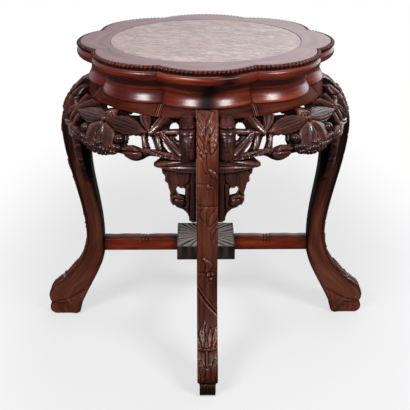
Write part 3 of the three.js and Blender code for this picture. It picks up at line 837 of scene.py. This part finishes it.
# Legs
knee = (rim_tip + 30, leg_top - 76)
ankle = (rim_tip - 0.5, 155)
shoulder = (rim_tip - 11, leg_top)
instep = (rim_tip + 61, 52)
shoulder_curve = bezier([shoulder, (208, leg_top - 9.1), (knee[0], leg_top - 45.6), knee], 60)
calf_curve = bezier([knee, (knee[0], 284.5), (ankle[0], 210.2), ankle], 90)
instep_curve = bezier([ankle, (ankle[0], 103.5), (237.4, 70.5), instep], 60)
leg_front = np.concatenate([
    shoulder_curve, calf_curve[1:], instep_curve[1:],
    smooth_line([instep, (267.5, 42), (toe_tip, 31), (268, 24.5)], 6)[1:],
    smooth_line([(264, 22), (267.5, 20), (toe_tip, 14), (269, 5.5), (263, 0)], 6),
])
# The inner edge of a leg is upright at its top and where the stretcher's arm meets it
inner_top = (152, 401.5)
inner_knee = (187, 289)
arm_seat = 172
seat_top, seat_foot = (arm_seat, 145.5), (arm_seat, 118.5)
heel = (217.5, 11)
leg_back = np.concatenate([
    [(inner_top[0], leg_top), inner_top],
    bezier([inner_top, (inner_top[0], 355.2), (inner_knee[0], 344.6), inner_knee], 50)[1:],
    bezier([inner_knee, (inner_knee[0], 248.8), (arm_seat, 200), seat_top], 50)[1:],
    [seat_foot],
    bezier([seat_foot, (arm_seat, 94.9), (211.5, 36.8), heel], 50)[1:],
    smooth_line([heel, (218.5, 4.4), (224.5, 0)], 4)[1:],
])
upright = np.concatenate([shoulder_curve, calf_curve[1:]])
pad_width = 24
flute_half = 15.3
# Cut lines that part the toe from the foot and the pad: route, depth and half width
toe_cuts = [
    ([(209, 47), (224, 37), (242, 28), (256, 24.5), (266, 22)], 1.6, 1.7),
    ([(243, 27), (239, 18), (241, 9)], 1.1, 1.6),
]


def leg_front_radius(height):
    """How far the front of a leg is from the stand's axis at a height, down to the ankle."""
    return np.interp(-height, -upright[:, 1], upright[:, 0])


def matched_edges():
    """The front and back edges of a leg in step: level down to the ankle, then by share of length."""
    rows, foot_rows = 170, 120
    level = np.linspace(leg_top, ankle[1], rows)
    front = [stacked(leg_front_radius(level), level)]
    back = [stacked(np.interp(-level, -leg_back[:, 1], leg_back[:, 0]), level)]
    first = int(np.argmax(leg_front[:, 1] <= ankle[1] + 1e-6))
    front_foot = leg_front[first:]
    back_foot = leg_back[leg_back[:, 1] < ankle[1]]
    back_foot = np.concatenate([back[0][-1:], back_foot])
    front.append(evenly(front_foot, foot_rows)[1:])
    back.append(evenly(back_foot, foot_rows)[1:])
    return np.concatenate(front), np.concatenate(back)


def leg_carving():
    """The leaves, berries, twigs and joints of bamboo carved down the front of a leg, and the ridges
    of its pad. x runs across it and y down its front edge from the top."""
    step, length = 0.9, 500
    across = np.arange(-leg_side, leg_side + 0.5, step)
    face = Carving(across, np.arange(0, length, step), 0, cut=far)
    # The top is sunk, with hatched and ridged ground
    face.height -= 0.9 * (1 - ease(face.y, 55, 80))
    face.height += 0.25 * np.cos(face.x / 1.4) * (1 - ease(face.y, 40, 60))
    hatch = np.cos((face.x + 0.6 * face.y) * 2.2) + 0.6 * np.cos((face.x - 0.8 * face.y) * 1.5)
    face.height += 0.3 * hatch * (1 - ease(face.y, 22, 40))
    face.leaf([(-12, 6), (-6, 18), (-4, 32)], [2.5, 4.5, 1], 1.0, rise=0.4)
    face.reed([(8, 2), (4, 14), (-2, 28)], [2, 3.5, 0.8], 1.1, rise=0.4)
    face.reed([(-15, 24), (-11, 36), (-5, 48)], [2, 4, 0.8], 1.7)
    face.reed([(2, 30), (-1, 42), (-3, 56)], [1.5, 3.4, 0.8], 1.6)
    face.leaf([(-13, 42), (-9, 52), (-6, 61)], [1.5, 4, 1], 1.4)
    face.leaf([(14, 28), (10, 44), (6, 62)], [3, 7.4, 2], 3.4, veins=8, rise=2.0)
    for centre in ((-8.5, 63), (-2.5, 61), (-5, 67.5)):
        face.bud(centre, (3.1, 2.9), 0, 2.4)
    face.reed([(-3, 70), (-4, 80), (-2, 92)], [1, 2.4, 0.6], 1.2)
    face.leaf([(2, 86), (8, 93), (16, 101)], [1, 4.4, 1.5], 1.9)
    face.groove([(-16, 108), (-4, 109), (9, 112)], 1.9, 1.5)
    face.bud((1, 113), (4.2, 2.8), 1.2, 1.5)
    face.groove([(-16, 143), (0, 145), (16, 144)], 1.9, 1.5)
    face.leaf([(-1, 147), (-6, 157), (-3, 172)], [1.5, 5, 1], 1.6)
    face.leaf([(14, 150), (9, 162), (2, 179)], [2, 5.5, 1], 1.9)
    face.reed([(15, 178), (8, 190), (6, 203)], [1, 3.2, 0.8], 0.8)
    face.leaf([(-6, 238), (3, 250), (-3, 264)], [1.5, 5.4, 1.2], 2.6)
    face.groove([(-16, 262), (-6, 264), (5, 262)], 2.0, 1.5)
    for centre in ((1.5, 268), (8, 266.5), (5.5, 275)):
        face.bud(centre, (3.1, 3.0), 0, 2.2)
    face.groove([(-16, 288), (-2, 311), (16, 331)], 2.6, 2.4)
    face.reed([(-16, 284), (-1, 307.5), (16, 327.5)], [1.4, 1.4], 0.9, ridges=0)
    face.leaf([(-3, 342), (-8, 356), (-6, 380)], [1.5, 5.2, 1.8], 2.6)
    face.leaf([(5, 352), (4, 364), (3, 380)], [1.2, 4.2, 1.2], 2.4)
    face.leaf([(13, 350), (12, 364), (9, 380)], [1.5, 4.4, 1.4], 2.7)
    face.reed([(-16, 382), (0, 384), (16, 381)], [1.7, 1.7], 2.0, ridges=0)
    flutes = ease(face.y, 386, 392) * (1 - ease(face.y, 424, 430))
    face.height += flutes * (1.2 + 0.5 * np.cos(face.x / flute_half * math.pi * 5))
    face.reed([(-1, 387), (-1, 398), (-1, 410)], [1.8, 1.8, 1.2], 2.2, ridges=0)
    face.leaf([(-11, 402), (-8, 414), (-7, 429)], [1.5, 4.4, 2.5], 2.4)
    face.leaf([(11, 400), (10, 414), (8, 429)], [1.5, 4.6, 2.5], 2.4)
    pad = ease(face.y, 436, 442)
    face.height += pad * 0.6 * np.cos(face.x / flute_half * math.pi * 7)
    return face


def leg_mesh():
    front, back = matched_edges()
    path = lengths(front)
    depth_vector = back - front
    thickness = np.hypot(*depth_vector.T)
    inward = depth_vector / thickness[:, None]
    tangent = np.gradient(front, axis=0)
    tangent /= np.hypot(*tangent.T)[:, None]
    outward = stacked(-tangent[:, 1], tangent[:, 0])
    edge = 1.8

    # Each place round the section: its offset, its inset from the front or the back, its share of the
    # way back and its share of the front's carving
    half = leg_side - edge
    corner = [
        (half + edge * math.sin(lean), edge * (1 - math.cos(lean)))
        for lean in (math.radians(30), math.radians(60))
    ]
    one_side = [(y, inset, 0.0, 0.7) for y, inset in corner]
    one_side += [(leg_side, edge, share, 0.0) for share in np.linspace(0, 1, 26)]
    one_side += [(y, -inset, 1.0, 0.0) for y, inset in corner[::-1]]
    other_side = [(-y, *rest) for y, *rest in one_side[::-1]]
    across_front = [(y, 0.0, 0.0, 1.0) for y in np.linspace(-half, half, 26)]
    across_back = [(y, 0.0, 1.0, 0.0) for y in np.linspace(half, -half, 6)]
    ring = np.array(across_front + one_side + across_back + other_side)

    y = np.broadcast_to(ring[:, 0], (len(front), len(ring))).copy()
    span = thickness[:, None] - 2 * edge
    on_side = np.abs(ring[:, 0]) >= leg_side - 1e-6
    depth = ring[:, 1] + ring[:, 2] * thickness[:, None]
    depth = np.where(on_side, edge + ring[:, 2] * span, depth)

    face = leg_carving()
    sign = face.depth_sign(8, 0.9)
    t = np.broadcast_to(path[:, None], y.shape)
    lift = face.at(face.height, y, t) * ring[:, 3]
    place = front[:, None, :] + inward[:, None, :] * depth[..., None]
    place = place + outward[:, None, :] * lift[..., None]

    # The sides: a narrow border behind the carved front, and the cut lines that part the toe
    above_foot = 1 - ease(t, 395, 420)
    border_place, border_width = 4.2, 1.1
    border = bell(depth - border_place, border_width) * on_side * above_foot
    side = Carving(np.arange(190, 280, 1.0), np.arange(-2, 70, 1.0), 0)
    toe_line = 0
    for route, deep, wide in toe_cuts:
        across = side.along(route, [1, 1])[0]
        toe_line = np.maximum(toe_line, deep * bell(across, wide))
    in_foot = on_side & (place[..., 1] < 65) & (place[..., 0] > 195)
    cut = np.where(in_foot, side.at(toe_line, place[..., 0], place[..., 1]), 0)
    # The pad under the toe is narrower, behind an edge that slants
    pad = ease(place[..., 1], 23, 20) * ease(place[..., 0] - 0.8 * place[..., 1], 216, 236)
    narrowed = 1 - pad * (1 - pad_width / (2 * leg_side))
    y = np.sign(y) * (np.abs(y) * narrowed - 0.55 * border - cut)

    loops = stacked(place[..., 0], y, np.maximum(place[..., 1], 0))
    # Painted shade darkens the border behind the carved front; the toe cuts are darkened too
    carved = face.at(sign, y, t) * ring[:, 3] - 0.75 * border - 0.5 * cut
    # The sides carry painted shade: dark along both edges and at the top, behind the aprons, and
    # paler down towards the foot. The front darkens towards the foot, and the back is unpolished and
    # painted dark as shade.
    shade = 0.5 + 0.4 * (1 - ease(t, 140, 180)) - 0.7 * ease(t, 195, 280) - 0.2 * ease(t, 330, 390)
    shade = shade + 0.6 * bell(depth, 5) * above_foot
    shade = shade + 0.75 * bell(thickness[:, None] - depth, 6)
    carved = np.where(on_side, carved - shade, carved)
    carved = np.where(ring[:, 3] > 0, carved - 0.5 * ease(t, 180, 340), carved)
    carved = np.where((ring[:, 2] == 1) & ~on_side, -0.95, carved)
    carved = carved - pad * np.where(ring[:, 3] > 0, 0.8, 0.35)
    return skin_mesh("leg", loops, stacked(t, y, depth), np.clip(carved, -1, 1))


def legs():
    place_around("carved_leg_{}", "leg_{}", leg_mesh(), [leg_rosewood])


# Aprons
panel_curve = bezier([
    (band_foot_radius + panel_step, band_foot), (204.5, band_foot - 3.7),
    (panel_radius, band_foot - 21.3), (panel_radius, leg_top - apron_drop - 14)
], 200)
panel_length = lengths(panel_curve)
panel_slope = np.gradient(panel_curve, axis=0)
panel_slope /= np.hypot(*panel_slope.T)[:, None]
half_panel = panel_radius * QUARTER / 2 - leg_side


def panel_place(x, y, height):
    """A point of the apron's bowed face. x is the distance from the middle of the apron, y runs down
    the face from the band, and height stands off it."""
    radius = np.interp(y, panel_length, panel_curve[:, 0]) + np.minimum(y, 0)
    level = np.interp(y, panel_length, panel_curve[:, 1]) - np.maximum(y - panel_length[-1], 0)
    slope_r = np.interp(y, panel_length, panel_slope[:, 0])
    slope_z = np.interp(y, panel_length, panel_slope[:, 1])
    side_angle = np.arcsin(leg_side / radius)
    angle = x / half_panel * (QUARTER / 2 - side_angle)
    radius = radius - slope_z * height
    level = level + slope_r * height
    return about_axis(radius, angle, level)


wall_slant = math.radians(20)
wall_length = 11.0


def panel_back(x, y):
    """The back of the board, behind a place on its face the way that the openings are sawn: inward
    and slanting down."""
    front = panel_place(x, y, 0.0)
    radius = np.hypot(front[..., 0], front[..., 1])
    share = 1 - wall_length * math.cos(wall_slant) / radius
    lower = front[..., 2] - wall_length * math.sin(wall_slant)
    return stacked(front[..., 0] * share, front[..., 1] * share, lower)


# Openings of half an apron: distance from the leg, then distance down the face from the band
panel_openings = [
    [(27.5, 18.5), (28.5, 10), (32, 2), (37, -4), (43, -2), (46, 8), (47, 19), (38, 18.5)],
    [(25, 35), (26, 26), (31, 26), (35, 30), (31, 35)],
    [(37, 54), (42, 45), (48.5, 35.5), (53, 40), (49, 47), (43, 53)],
    [(61.5, 53), (65, 44), (71, 33), (75, 29), (80, 31), (77, 41), (71, 51)],
    [(82.5, 53), (85, 43), (89, 34), (96, 33), (105, 34.5), (113, 38), (110.5, 45), (113, 52),
     (100, 49.5), (91, 51)],
    [(104, 0.5), (104, -14.5), (139, -14.5), (140, -1), (133, 4.5), (118, 2)],
]
panel_outline = [
    (0.2, -14), (170, -14), (170, 64), (163, 66), (161, 71), (157, 73.5), (150, 73), (142, 71),
    (134, 67.5), (128, 65.5), (118, 65.5), (114, 67), (110, 70), (104, 71.5), (95, 71.3),
    (88, 69.8), (82, 67), (76, 63), (70.5, 61), (66, 61), (60, 61), (0.2, 61),
]
# Distance from the leg, distance down the face and radius of each grape
grapes = [
    (123, 45, 6.8), (122, 58, 5), (129, 58, 4.6), (136, 59, 4.6), (127, 65, 3.6), (134, 66, 4.2),
    (141, 65, 4.8), (148, 66, 5.2), (155, 65, 6.3), (162, 59, 5.5), (144, 70, 3.6), (151, 71, 4),
    (158, 71.5, 4), (165, 66, 5), (168, 57, 4.5),
]


def apron_carving():
    """Bamboo stems and leaves, a vine leaf with a bamboo leaf over it and a ripe pod, the same on
    both halves of the apron."""
    columns, row_step, ground = 297, 1.1, -5.5
    across = np.linspace(-half_panel, half_panel, columns)
    board = Carving(across, np.arange(-14, 79, row_step), ground)
    board.x = half_panel - np.abs(board.x)
    board.wood = board.inside(panel_outline)
    for opening in panel_openings:
        board.wood = np.minimum(board.wood, -board.inside(opening))
    board.stem([(62, 26), (58.5, 40), (55, 56)], [5, 4.2, 5.5], -1.8)
    board.stem([(84, 27), (81, 40), (77, 56)], [4, 3.8, 5], -1.6)
    board.stem([(163, -8), (159, 12), (150, 28)], [3.4, 3.2, 2.4], -0.6)
    # The vine leaf is broad and smooth, with two shallow folds
    board.reed(
        [(155, 29), (146, 43), (141, 62)], [6, 14, 9], (1.8, 1.2, 1.8), rise=0.2, crown=2.4, tone=0.35
    )
    board.reed([(163, 30), (163, 42), (163, 58)], [3, 7, 3], 0.2, rise=0.0, tone=0.3)
    board.reed([(12, 63), (46, 58.5), (72, 55), (92, 55)], [3.4, 4.2, 4.2, 1.2], -0.4, ridges=3)
    board.reed([(22, 59), (44, 57), (66, 52)], [2.6, 3.2, 1.0], 0.0)
    board.reed([(22, 21), (46, 23.5), (70, 28)], [4.4, 4.2, 3], -0.8, ridges=1, lean=0.8)
    board.reed([(52, 30), (38, 43), (24, 57)], [4.2, 6, 6.4], 0.2, ridges=2, rise=1.0)
    board.reed([(96, -5), (87, 9), (76, 24.5)], [10, 8, 2.8], (2.2, 0.2, 1.6), rise=1.0, crown=0.2)
    board.reed([(56, -3), (64, 14), (72, 30)], [7.6, 6.6, 2.8], (2.6, 0.4, 2.2), rise=1.1, crown=0.2)
    board.reed(
        [(157, 21), (139, 20), (117, 21), (96, 25), (78, 28.5)], [5, 14, 15, 10, 1.5],
        (3.4, 0.8, 1.6), ridges=6, rise=0.5, crown=4.2, tone=-0.2,
    )
    board.reed([(162, -1), (156, 7), (150, 13)], [3, 3.8, 1.6], 0.2, rise=0.0, crown=0.6, tone=0.6)
    board.bud((98, 62), (17, 10), 0.06, 0.9, ridges=3)
    board.leaf([(87, 56), (99, 54.5), (112, 57.5)], [1.5, 4, 2], 1.6, veins=4)
    board.round_edges(2.0)
    # Where the band lies over the board, no form stands up into it
    under_band, highest = ease(board.y, 1.0, -1.5), -0.6
    lowered = np.minimum(board.height, highest)
    board.height = board.height * (1 - under_band) + lowered * under_band
    return board


# Cut lines beside each crease of the band: their places and half width in degrees, and their depth
band_cuts = (-1.4, -0.5, 0.6, 1.5)
band_cut_width = 0.24
band_cut_depth = 1.3


def add_band(shells):
    """The plain moulded band along the top of the apron, lobed at its top and round at its foot, with
    cut lines at the creases."""
    face = np.array([
        (band_foot_radius - 1.4, 0.0), (band_foot_radius - 0.3, 0.4), (band_foot_radius, 1.3),
        (band_foot_radius - 0.6, 4.5), (band_foot_radius - 1.5, 8),
        (band_foot_radius - 2.8, 11.5), (band_top_radius, band_height - fit_gap),
    ])
    section = np.concatenate([
        [(band_foot_radius - board_thickness, 0)], face,
        [(band_top_radius - board_thickness, band_height - fit_gap)],
    ])
    reach, height = section.T
    end_angle = QUARTER / 2 - np.arcsin((leg_side + fit_gap) / reach)
    angle = np.linspace(-1, 1, 361)[:, None] * end_angle
    bowed = reach + (lobed(reach, angle + QUARTER / 2) - reach) * band_lobing * height / band_height
    from_crease = np.degrees(np.abs(angle) - LOBE / 2)
    lines = np.zeros(bowed.shape)
    for place in band_cuts:
        lines = np.maximum(lines, bell(from_crease - place, band_cut_width))
    lines[:, [0, -1]] = 0
    bowed = bowed - band_cut_depth * lines
    # The band is paler near the creases, from wear and from painted highlight
    pale_wear_and_highlight = 1.2 * np.exp(-((np.abs(from_crease) / 1.4) ** 6)) * (1 - lines)
    loops = about_axis(bowed, angle, band_foot + height)
    grain = stacked(np.degrees(angle) * rim_degree, reach, band_foot + height)
    depth = np.clip(pale_wear_and_highlight - lines - 0.25, -1, 1)
    # Painted shade under the rounded foot of the band
    depth[:, 1] = -0.8
    shells.add(loops, skin(loops), grain, depth, wood=1)


trunk_radius = 12
trunk_offset = 12.4
trunk_setback = 2


def add_trunk(shells, side):
    """A bamboo stem beside the leg, with a joint near its top, a collar under the joint and one long
    leaf that hangs on it."""
    foot, joint, top = 361.5, 400, 413.5
    leaf_foot, leaf_top = 363, 391
    level = np.concatenate([np.linspace(foot, 396, 34), np.linspace(396.5, top, 34)])
    turn = np.linspace(0, 2 * math.pi, 40, endpoint=False)
    collar = bell(level - joint + 5, 3.4)
    swell = 0.6 * bell(level - joint - 2.6, 1.5) + 1.3 * collar - 0.9 * bell(level - joint, 0.9)
    radius = (trunk_radius + swell) * (1 - 0.28 * ease(level, joint + 2, top))
    centre = leg_front_radius(level) - trunk_setback - trunk_radius
    # The leaf narrows as it hangs, and its edges stand off the stem
    facing = np.degrees(np.angle(np.exp(1j * turn)))
    middle = np.interp(level, [365, 398], [8, -22])[:, None] * side
    width = np.interp(level, [365, leaf_top], [4, 24])[:, None]
    offset = np.abs(facing[None, :] - middle) / width
    leaf = (offset < 1) & (level[:, None] < leaf_top) & (level[:, None] > leaf_foot)
    reach = radius[:, None] + np.where(leaf, 0.7 + 0.2 * offset, 0)
    x = centre[:, None] + reach * np.cos(turn)
    y = side * (leg_side + trunk_offset) + reach * np.sin(turn)
    loops = stacked(x, y, level[:, None])
    grain = loops[..., ::-1]
    depth = np.where(np.abs(offset - 1) < 0.18, -0.6, 0.0) * (level[:, None] < leaf_top)
    depth = depth - bell(level - joint, 1.1)[:, None]
    # Painted shade on the sides of the stem that face away from the front
    depth = depth - ease(np.abs(facing), 80, 120)[None, :] * 0.6
    # Turned from the leg's frame to the apron's, whose middle is an eighth of a turn away
    points = turned(loops, -side * QUARTER / 2)
    shells.add(points, skin(loops), grain, np.clip(depth, -1, 1),
               polish=0.1 + 0.6 * np.broadcast_to(collar[:, None], depth.shape))


def turned(points, angle):
    """Points turned about the stand's axis."""
    cos, sin = math.cos(angle), math.sin(angle)
    x, y = points[..., 0], points[..., 1]
    return stacked(x * cos - y * sin, x * sin + y * cos, points[..., 2])


def apron_mesh():
    shells = Shells()
    board = apron_carving()
    from_middle = np.linspace(-half_panel, half_panel, board.x.shape[1])[None, :]
    sign = np.where(from_middle < 0, -1, 1)
    grain = stacked(from_middle, board.y, board.height)

    def front_place(x, y, height):
        return panel_place(sign * (half_panel - x), y, height)

    def back_place(x, y):
        return panel_back(sign * (half_panel - x), y)

    add_board(shells, board, front_place, back_place, grain, scale=0.8, deep=5.0)
    add_band(shells)
    for side in (-1, 1):
        add_trunk(shells, side)
        for x, y, radius in grapes:
            add_ball(shells, panel_place(side * (half_panel - x), y, -radius * 0.35), radius)
    return mesh_from("apron", shells)


def aprons():
    place_around("carved_apron_{}", "apron_{}", apron_mesh(), [carved_rosewood, band_rosewood],
                 apron_names, first=0.5)


# Brackets
bracket_setback = 15
bracket_thickness = 11


def bracket_carving():
    """A hanging leaf with a scalloped edge over a rolled scroll, below a long bamboo leaf. x runs out
    from the leg and y down from the apron."""
    across = np.arange(0, 63, 1.0)
    board = Carving(across, np.arange(-1, 107, 1.0), -2.2)
    outline = [
        (0, 0), (0, 105), (5, 105), (10.5, 103), (11, 96), (13.5, 89), (19, 83.5), (28, 80.5),
        (34, 76), (37.5, 70), (38, 62), (36.5, 58), (39, 50), (40.5, 42), (42, 40), (45, 38.5),
        (44.5, 34), (43.5, 31), (48, 27), (49, 22), (48, 19), (52, 17.5), (60.8, 14.5),
        (55, 9.5), (50, 5), (44, 0),
    ]
    opening = [(16.5, 61.5), (16, 50), (18, 46.5), (26, 46), (29.5, 50), (28.5, 55), (25, 60)]
    board.wood = np.minimum(board.inside(outline), -board.inside(opening))
    board.height += 0.2 * np.cos(board.x / 2.3)
    board.reed([(27, 10), (33, 30), (36, 58)], [7, 12.5, 2.5], 0.2, rise=0.4, crown=1.2, tone=0.3)
    board.reed([(13, 12), (17, 28), (21, 44)], [5, 9, 4], -0.6, rise=0.2, crown=0.8, tone=0.3)
    board.stem([(3.5, 18), (5.5, 60), (4.5, 104)], [4.4, 5.2, 4.4], -0.8)
    board.stem([(12, 44), (12.5, 62), (14, 80)], [3.0, 3.2, 3.4], -0.6)
    board.bud((26, 71), (11.5, 8.6), -0.35, 1.2, ridges=1)
    board.stem([(18, 64), (27, 62), (33, 63), (36, 68), (33, 76)], [1.4, 2.2, 2.4, 2.2, 1], 0.6)
    board.reed([(-2, 14.6), (26, 15.2), (60, 14.8)], [5.4, 4.8, 0.8], 4.4, rise=0.3, lean=1.0)
    board.reed([(-2, 4.8), (26, 5.8), (57, 12.5)], [5.4, 4.8, 1.0], 5.0, rise=0.3, crown=1.6, lean=1.6)
    board.wood = np.minimum(board.wood, board.inside(outline))
    board.round_edges(1.6)
    return board


def bracket_mesh(side):
    board = bracket_carving()

    def front_place(x, y, height):
        level = bracket_top - y
        reach = leg_front_radius(np.minimum(level, leg_top)) - bracket_setback + height
        u = leg_side + fit_gap + x
        return stacked(np.sqrt(reach * reach - u * u), side * u, level)

    def back_place(x, y):
        return front_place(x, y, 0.0) - np.array([bracket_thickness - 0.5, 0, 0])

    shells = Shells()
    grain = stacked(board.y, board.x, board.height)
    add_board(shells, board, front_place, back_place, grain)
    return mesh_from("bracket", shells)


def brackets():
    for letter, side in (("a", 1), ("b", -1)):
        place_around(f"carved_bracket_{{}}_{letter}", f"bracket_{{}}_{letter}", bracket_mesh(side),
                     [carved_rosewood])


# Stretcher
arm_rings = (97, 102, 107.5)


def arm_mesh():
    """One arm of the cross: eased edges, three cut rings like the joints of bamboo."""
    start, end = block_half + fit_gap, arm_seat - fit_gap
    ring_depth = 0.075
    chamfer = 3.2
    corners = np.array([
        (-arm_half, arm_foot), (arm_half, arm_foot), (arm_half, arm_top - chamfer),
        (arm_half - chamfer, arm_top), (chamfer - arm_half, arm_top), (-arm_half, arm_top - chamfer),
    ])
    outline = []
    for first, second in zip(corners, np.roll(corners, -1, axis=0)):
        eased = min(0.3, 1.0 / np.hypot(*(second - first)))
        for share in (eased, 0.5, 1 - eased):
            outline.append(first + (second - first) * share)
    outline = np.array(outline)
    middle = np.array([0, (arm_foot + arm_top) / 2])
    loops, depth, polish = [], [], []
    for x in np.linspace(start, end, 92):
        ring = sum(bell(x - place, 0.9) for place in arm_rings)
        waver = 0.35 * math.sin(x / 9) + 0.25 * math.sin(x / 4.3 + 1)
        upper = ease(outline[:, 1], arm_foot + 8, arm_top - 4)
        shape = middle + (outline - middle) * (1 - ring_depth * ring * upper)[:, None]
        shape[:, 1] += 0.8 * waver * upper
        loops.append(stacked(x, *shape.T))
        near_top = ease(outline[:, 1], arm_top - 6, arm_top - 2.5)
        near_foot = ease(outline[:, 1], arm_foot + 2.5, arm_foot)
        near_end = bell(x - start, 10) + bell(x - end, 10)
        shade = ring * upper + 0.45 * near_foot + 0.6 * near_top + 0.5 * near_end
        depth.append(-np.clip(shade, 0, 1))
        polish.append(1 - 0.8 * near_top)
    loops = np.array(loops)
    return skin_mesh("stretcher_arm", loops, loops, depth, polish)


def block_mesh():
    """The block in the middle of the cross, carved on top with ridges that fan from its middle."""
    step = 1.2
    places = np.arange(-block_half, block_half + 0.5 * step, step)
    board = Carving(places, places, 0, cut=far)
    board.wood = block_half - np.maximum(np.abs(board.x), np.abs(board.y))
    angle = np.arctan2(board.y, board.x)
    reach = np.hypot(board.x, board.y)
    # Ridges of uneven width: 32 fine ones on 16 broad ones, which fade towards the edge of the block
    fine_depth, broad_depth, ground_depth, edge_drop = 3.2, 1.2, 0.4, 1.0
    fan = np.abs(np.sin(16 * angle + 0.9 * np.sin(5 * angle + reach / 25)))
    broad = np.abs(np.sin(8 * angle + 0.5 * np.sin(3 * angle)))
    strength = ease(reach, 6, 30) * ease(board.wood, 0, 2.5)
    board.height = -strength * (fine_depth * (1 - fan) + broad_depth * (1 - broad)) - ground_depth
    board.height -= edge_drop * ease(board.wood, 4, 0)
    # The tone pales the crests of the ridges, as wear and painted highlight, and darkens the edge of
    # the top and the sides below it
    board.tone = 0.25 - 1.25 * ease(board.wood, 1.5, 0)

    def front_place(x, y, height):
        return stacked(x, y, block_top + height)

    def back_place(x, y):
        return stacked(x, y, block_foot)

    shells = Shells()
    grain = stacked(board.x, board.y, board.height)
    add_board(shells, board, front_place, back_place, grain, spread=6, scale=0.7)
    return mesh_from("stretcher_block", shells)


def stretcher():
    place_around("cross_arm_{}", "stretcher_arm_{}", arm_mesh(), [arm_rosewood])
    place_piece("carved_block", block_mesh(), [dusty_rosewood], "stretcher_block")


def battens():
    """The battens under the marble keep the frame's own shape."""
    wood = sawn_inner_wood()
    for node in ("marble_batten_lower", "marble_batten_upper"):
        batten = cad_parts[node]
        batten.data.materials.clear()
        batten.data.materials.append(wood)


# Floor, light and camera
def studio_floor():
    """A sheet of pale paper under the stand, in a dim room: grey near the stand and white further
    off. What it throws back on the stand is dim."""
    size = 6.0
    mesh = bpy.data.meshes.new("paper_floor")
    corners = [(-size, -size, 0), (size, -size, 0), (size, size, 0), (-size, size, 0)]
    mesh.from_pydata(corners, [], [(0, 1, 2, 3)])
    floor = bpy.data.objects.new("paper_floor", mesh)
    bpy.context.scene.collection.objects.link(floor)
    material, tree, surface = new_material("pale_matt_paper")
    place = add_node(tree, "TexCoord").outputs["Object"]
    squeezed = add_node(tree, "VectorMath", (place, (1 / 0.46, 1 / 1.15, 1)), operation="MULTIPLY")
    reach = add_node(tree, "VectorMath", [squeezed], operation="LENGTH").outputs["Value"]
    away = add_node(
        tree, "MapRange", (reach, 0.5, 1.25, 0.6, 1), interpolation_type="SMOOTHSTEP"
    )
    camera_ray = add_node(tree, "LightPath").outputs["Is Camera Ray"]
    white = add_node(tree, "Math", (away, camera_ray), operation="MULTIPLY")
    colour = covered(tree, linear("#555456"), [(camera_ray, "#eceaec")])
    paper = add_node(
        tree, "BsdfPrincipled",
        {"Base Color": colour, "Roughness": 0.8, "Specular IOR Level": 0.2},
    )
    glow = add_node(tree, "Emission", {"Color": (1, 1, 1, 1), "Strength": 1.0})
    mixed = add_node(tree, "MixShader", (white, paper, glow))
    tree.links.new(mixed.outputs[0], surface)
    mesh.materials.append(material)


def studio_world():
    """A pale backdrop behind the stand, in a dim room, brighter to the right: it gives the wood its
    sheen at low angles and leaves what faces the camera dark. It is white where the camera sees it."""
    world = bpy.data.worlds.new("pale_backdrop")
    bpy.context.scene.world = world
    world.use_nodes = True
    tree = world.node_tree
    tree.nodes.clear()
    toward = add_node(tree, "TexCoord").outputs["Generated"]
    sides = add_node(tree, "SeparateXYZ", [toward]).outputs
    behind = add_node(
        tree, "MapRange", (sides["Y"], 0.1, 0.8, 0, 1), interpolation_type="SMOOTHSTEP"
    )
    from_left = add_node(
        tree, "MapRange", (sides["X"], -0.16, 0.15, 0.4, 1.8), interpolation_type="SMOOTHSTEP"
    )
    lowest = add_node(tree, "MapRange", (sides["Z"], 0.185, 0.26, 1.3, 0.8))
    brightness = add_node(tree, "Math", (from_left, lowest), operation="MULTIPLY")
    level = add_node(tree, "Math", (behind, brightness, 0.1), operation="MULTIPLY_ADD")
    camera_ray = add_node(tree, "LightPath").outputs["Is Camera Ray"]
    fill = add_node(tree, "Background", {"Color": linear("#f4f2f8"), "Strength": level})
    white = add_node(tree, "Background", {"Color": (1, 1, 1, 1), "Strength": 1.0})
    mixed = add_node(tree, "MixShader", (camera_ray, fill, white))
    output = add_node(tree, "OutputWorld")
    tree.links.new(mixed.outputs[0], output.inputs["Surface"])


def soft_box(name, azimuth):
    """An oval soft box that faces the top of the stand. Its azimuth, in degrees, is from the side of
    the camera and towards the right."""
    elevation, distance, aim_height = 37, 1.9, 0.35
    size, watts = (0.7, 0.3), 18
    light = bpy.data.lights.new(name, "AREA")
    light.shape = "ELLIPSE"
    light.size, light.size_y = size
    light.energy = watts
    lamp = bpy.data.objects.new(name, light)
    bpy.context.scene.collection.objects.link(lamp)
    lamp.visible_camera = False
    turn, lift = math.radians(azimuth), math.radians(elevation)
    lamp.location = (
        distance * math.cos(lift) * math.sin(turn),
        -distance * math.cos(lift) * math.cos(turn),
        aim_height + distance * math.sin(lift),
    )
    lamp.rotation_euler = (QUARTER - lift, 0, turn)


def camera():
    """The photograph's view: from the front, a little above the stand."""
    distance, height = 1.4148, 0.7963
    pitch = 0.3997
    stand_turn = math.radians(0.65)
    aim = 0.0008
    focal_length = 80.3
    lens = bpy.data.cameras.new("camera")
    lens.sensor_width = 36
    lens.lens = focal_length
    lens.clip_end = 50
    viewer = bpy.data.objects.new("camera", lens)
    viewer.location = (-distance * math.sin(stand_turn), -distance * math.cos(stand_turn), height)
    viewer.rotation_euler = (QUARTER - pitch, 0, aim - stand_turn)
    bpy.context.scene.collection.objects.link(viewer)
    bpy.context.scene.camera = viewer


camera()
studio_world()
studio_floor()
soft_box("soft_box_left", -34)
soft_box("soft_box_right", 40)
marble_disc()
top_frame()
legs()
aprons()
brackets()
stretcher()
battens()

bpy.context.scene.view_settings.view_transform = "Standard"
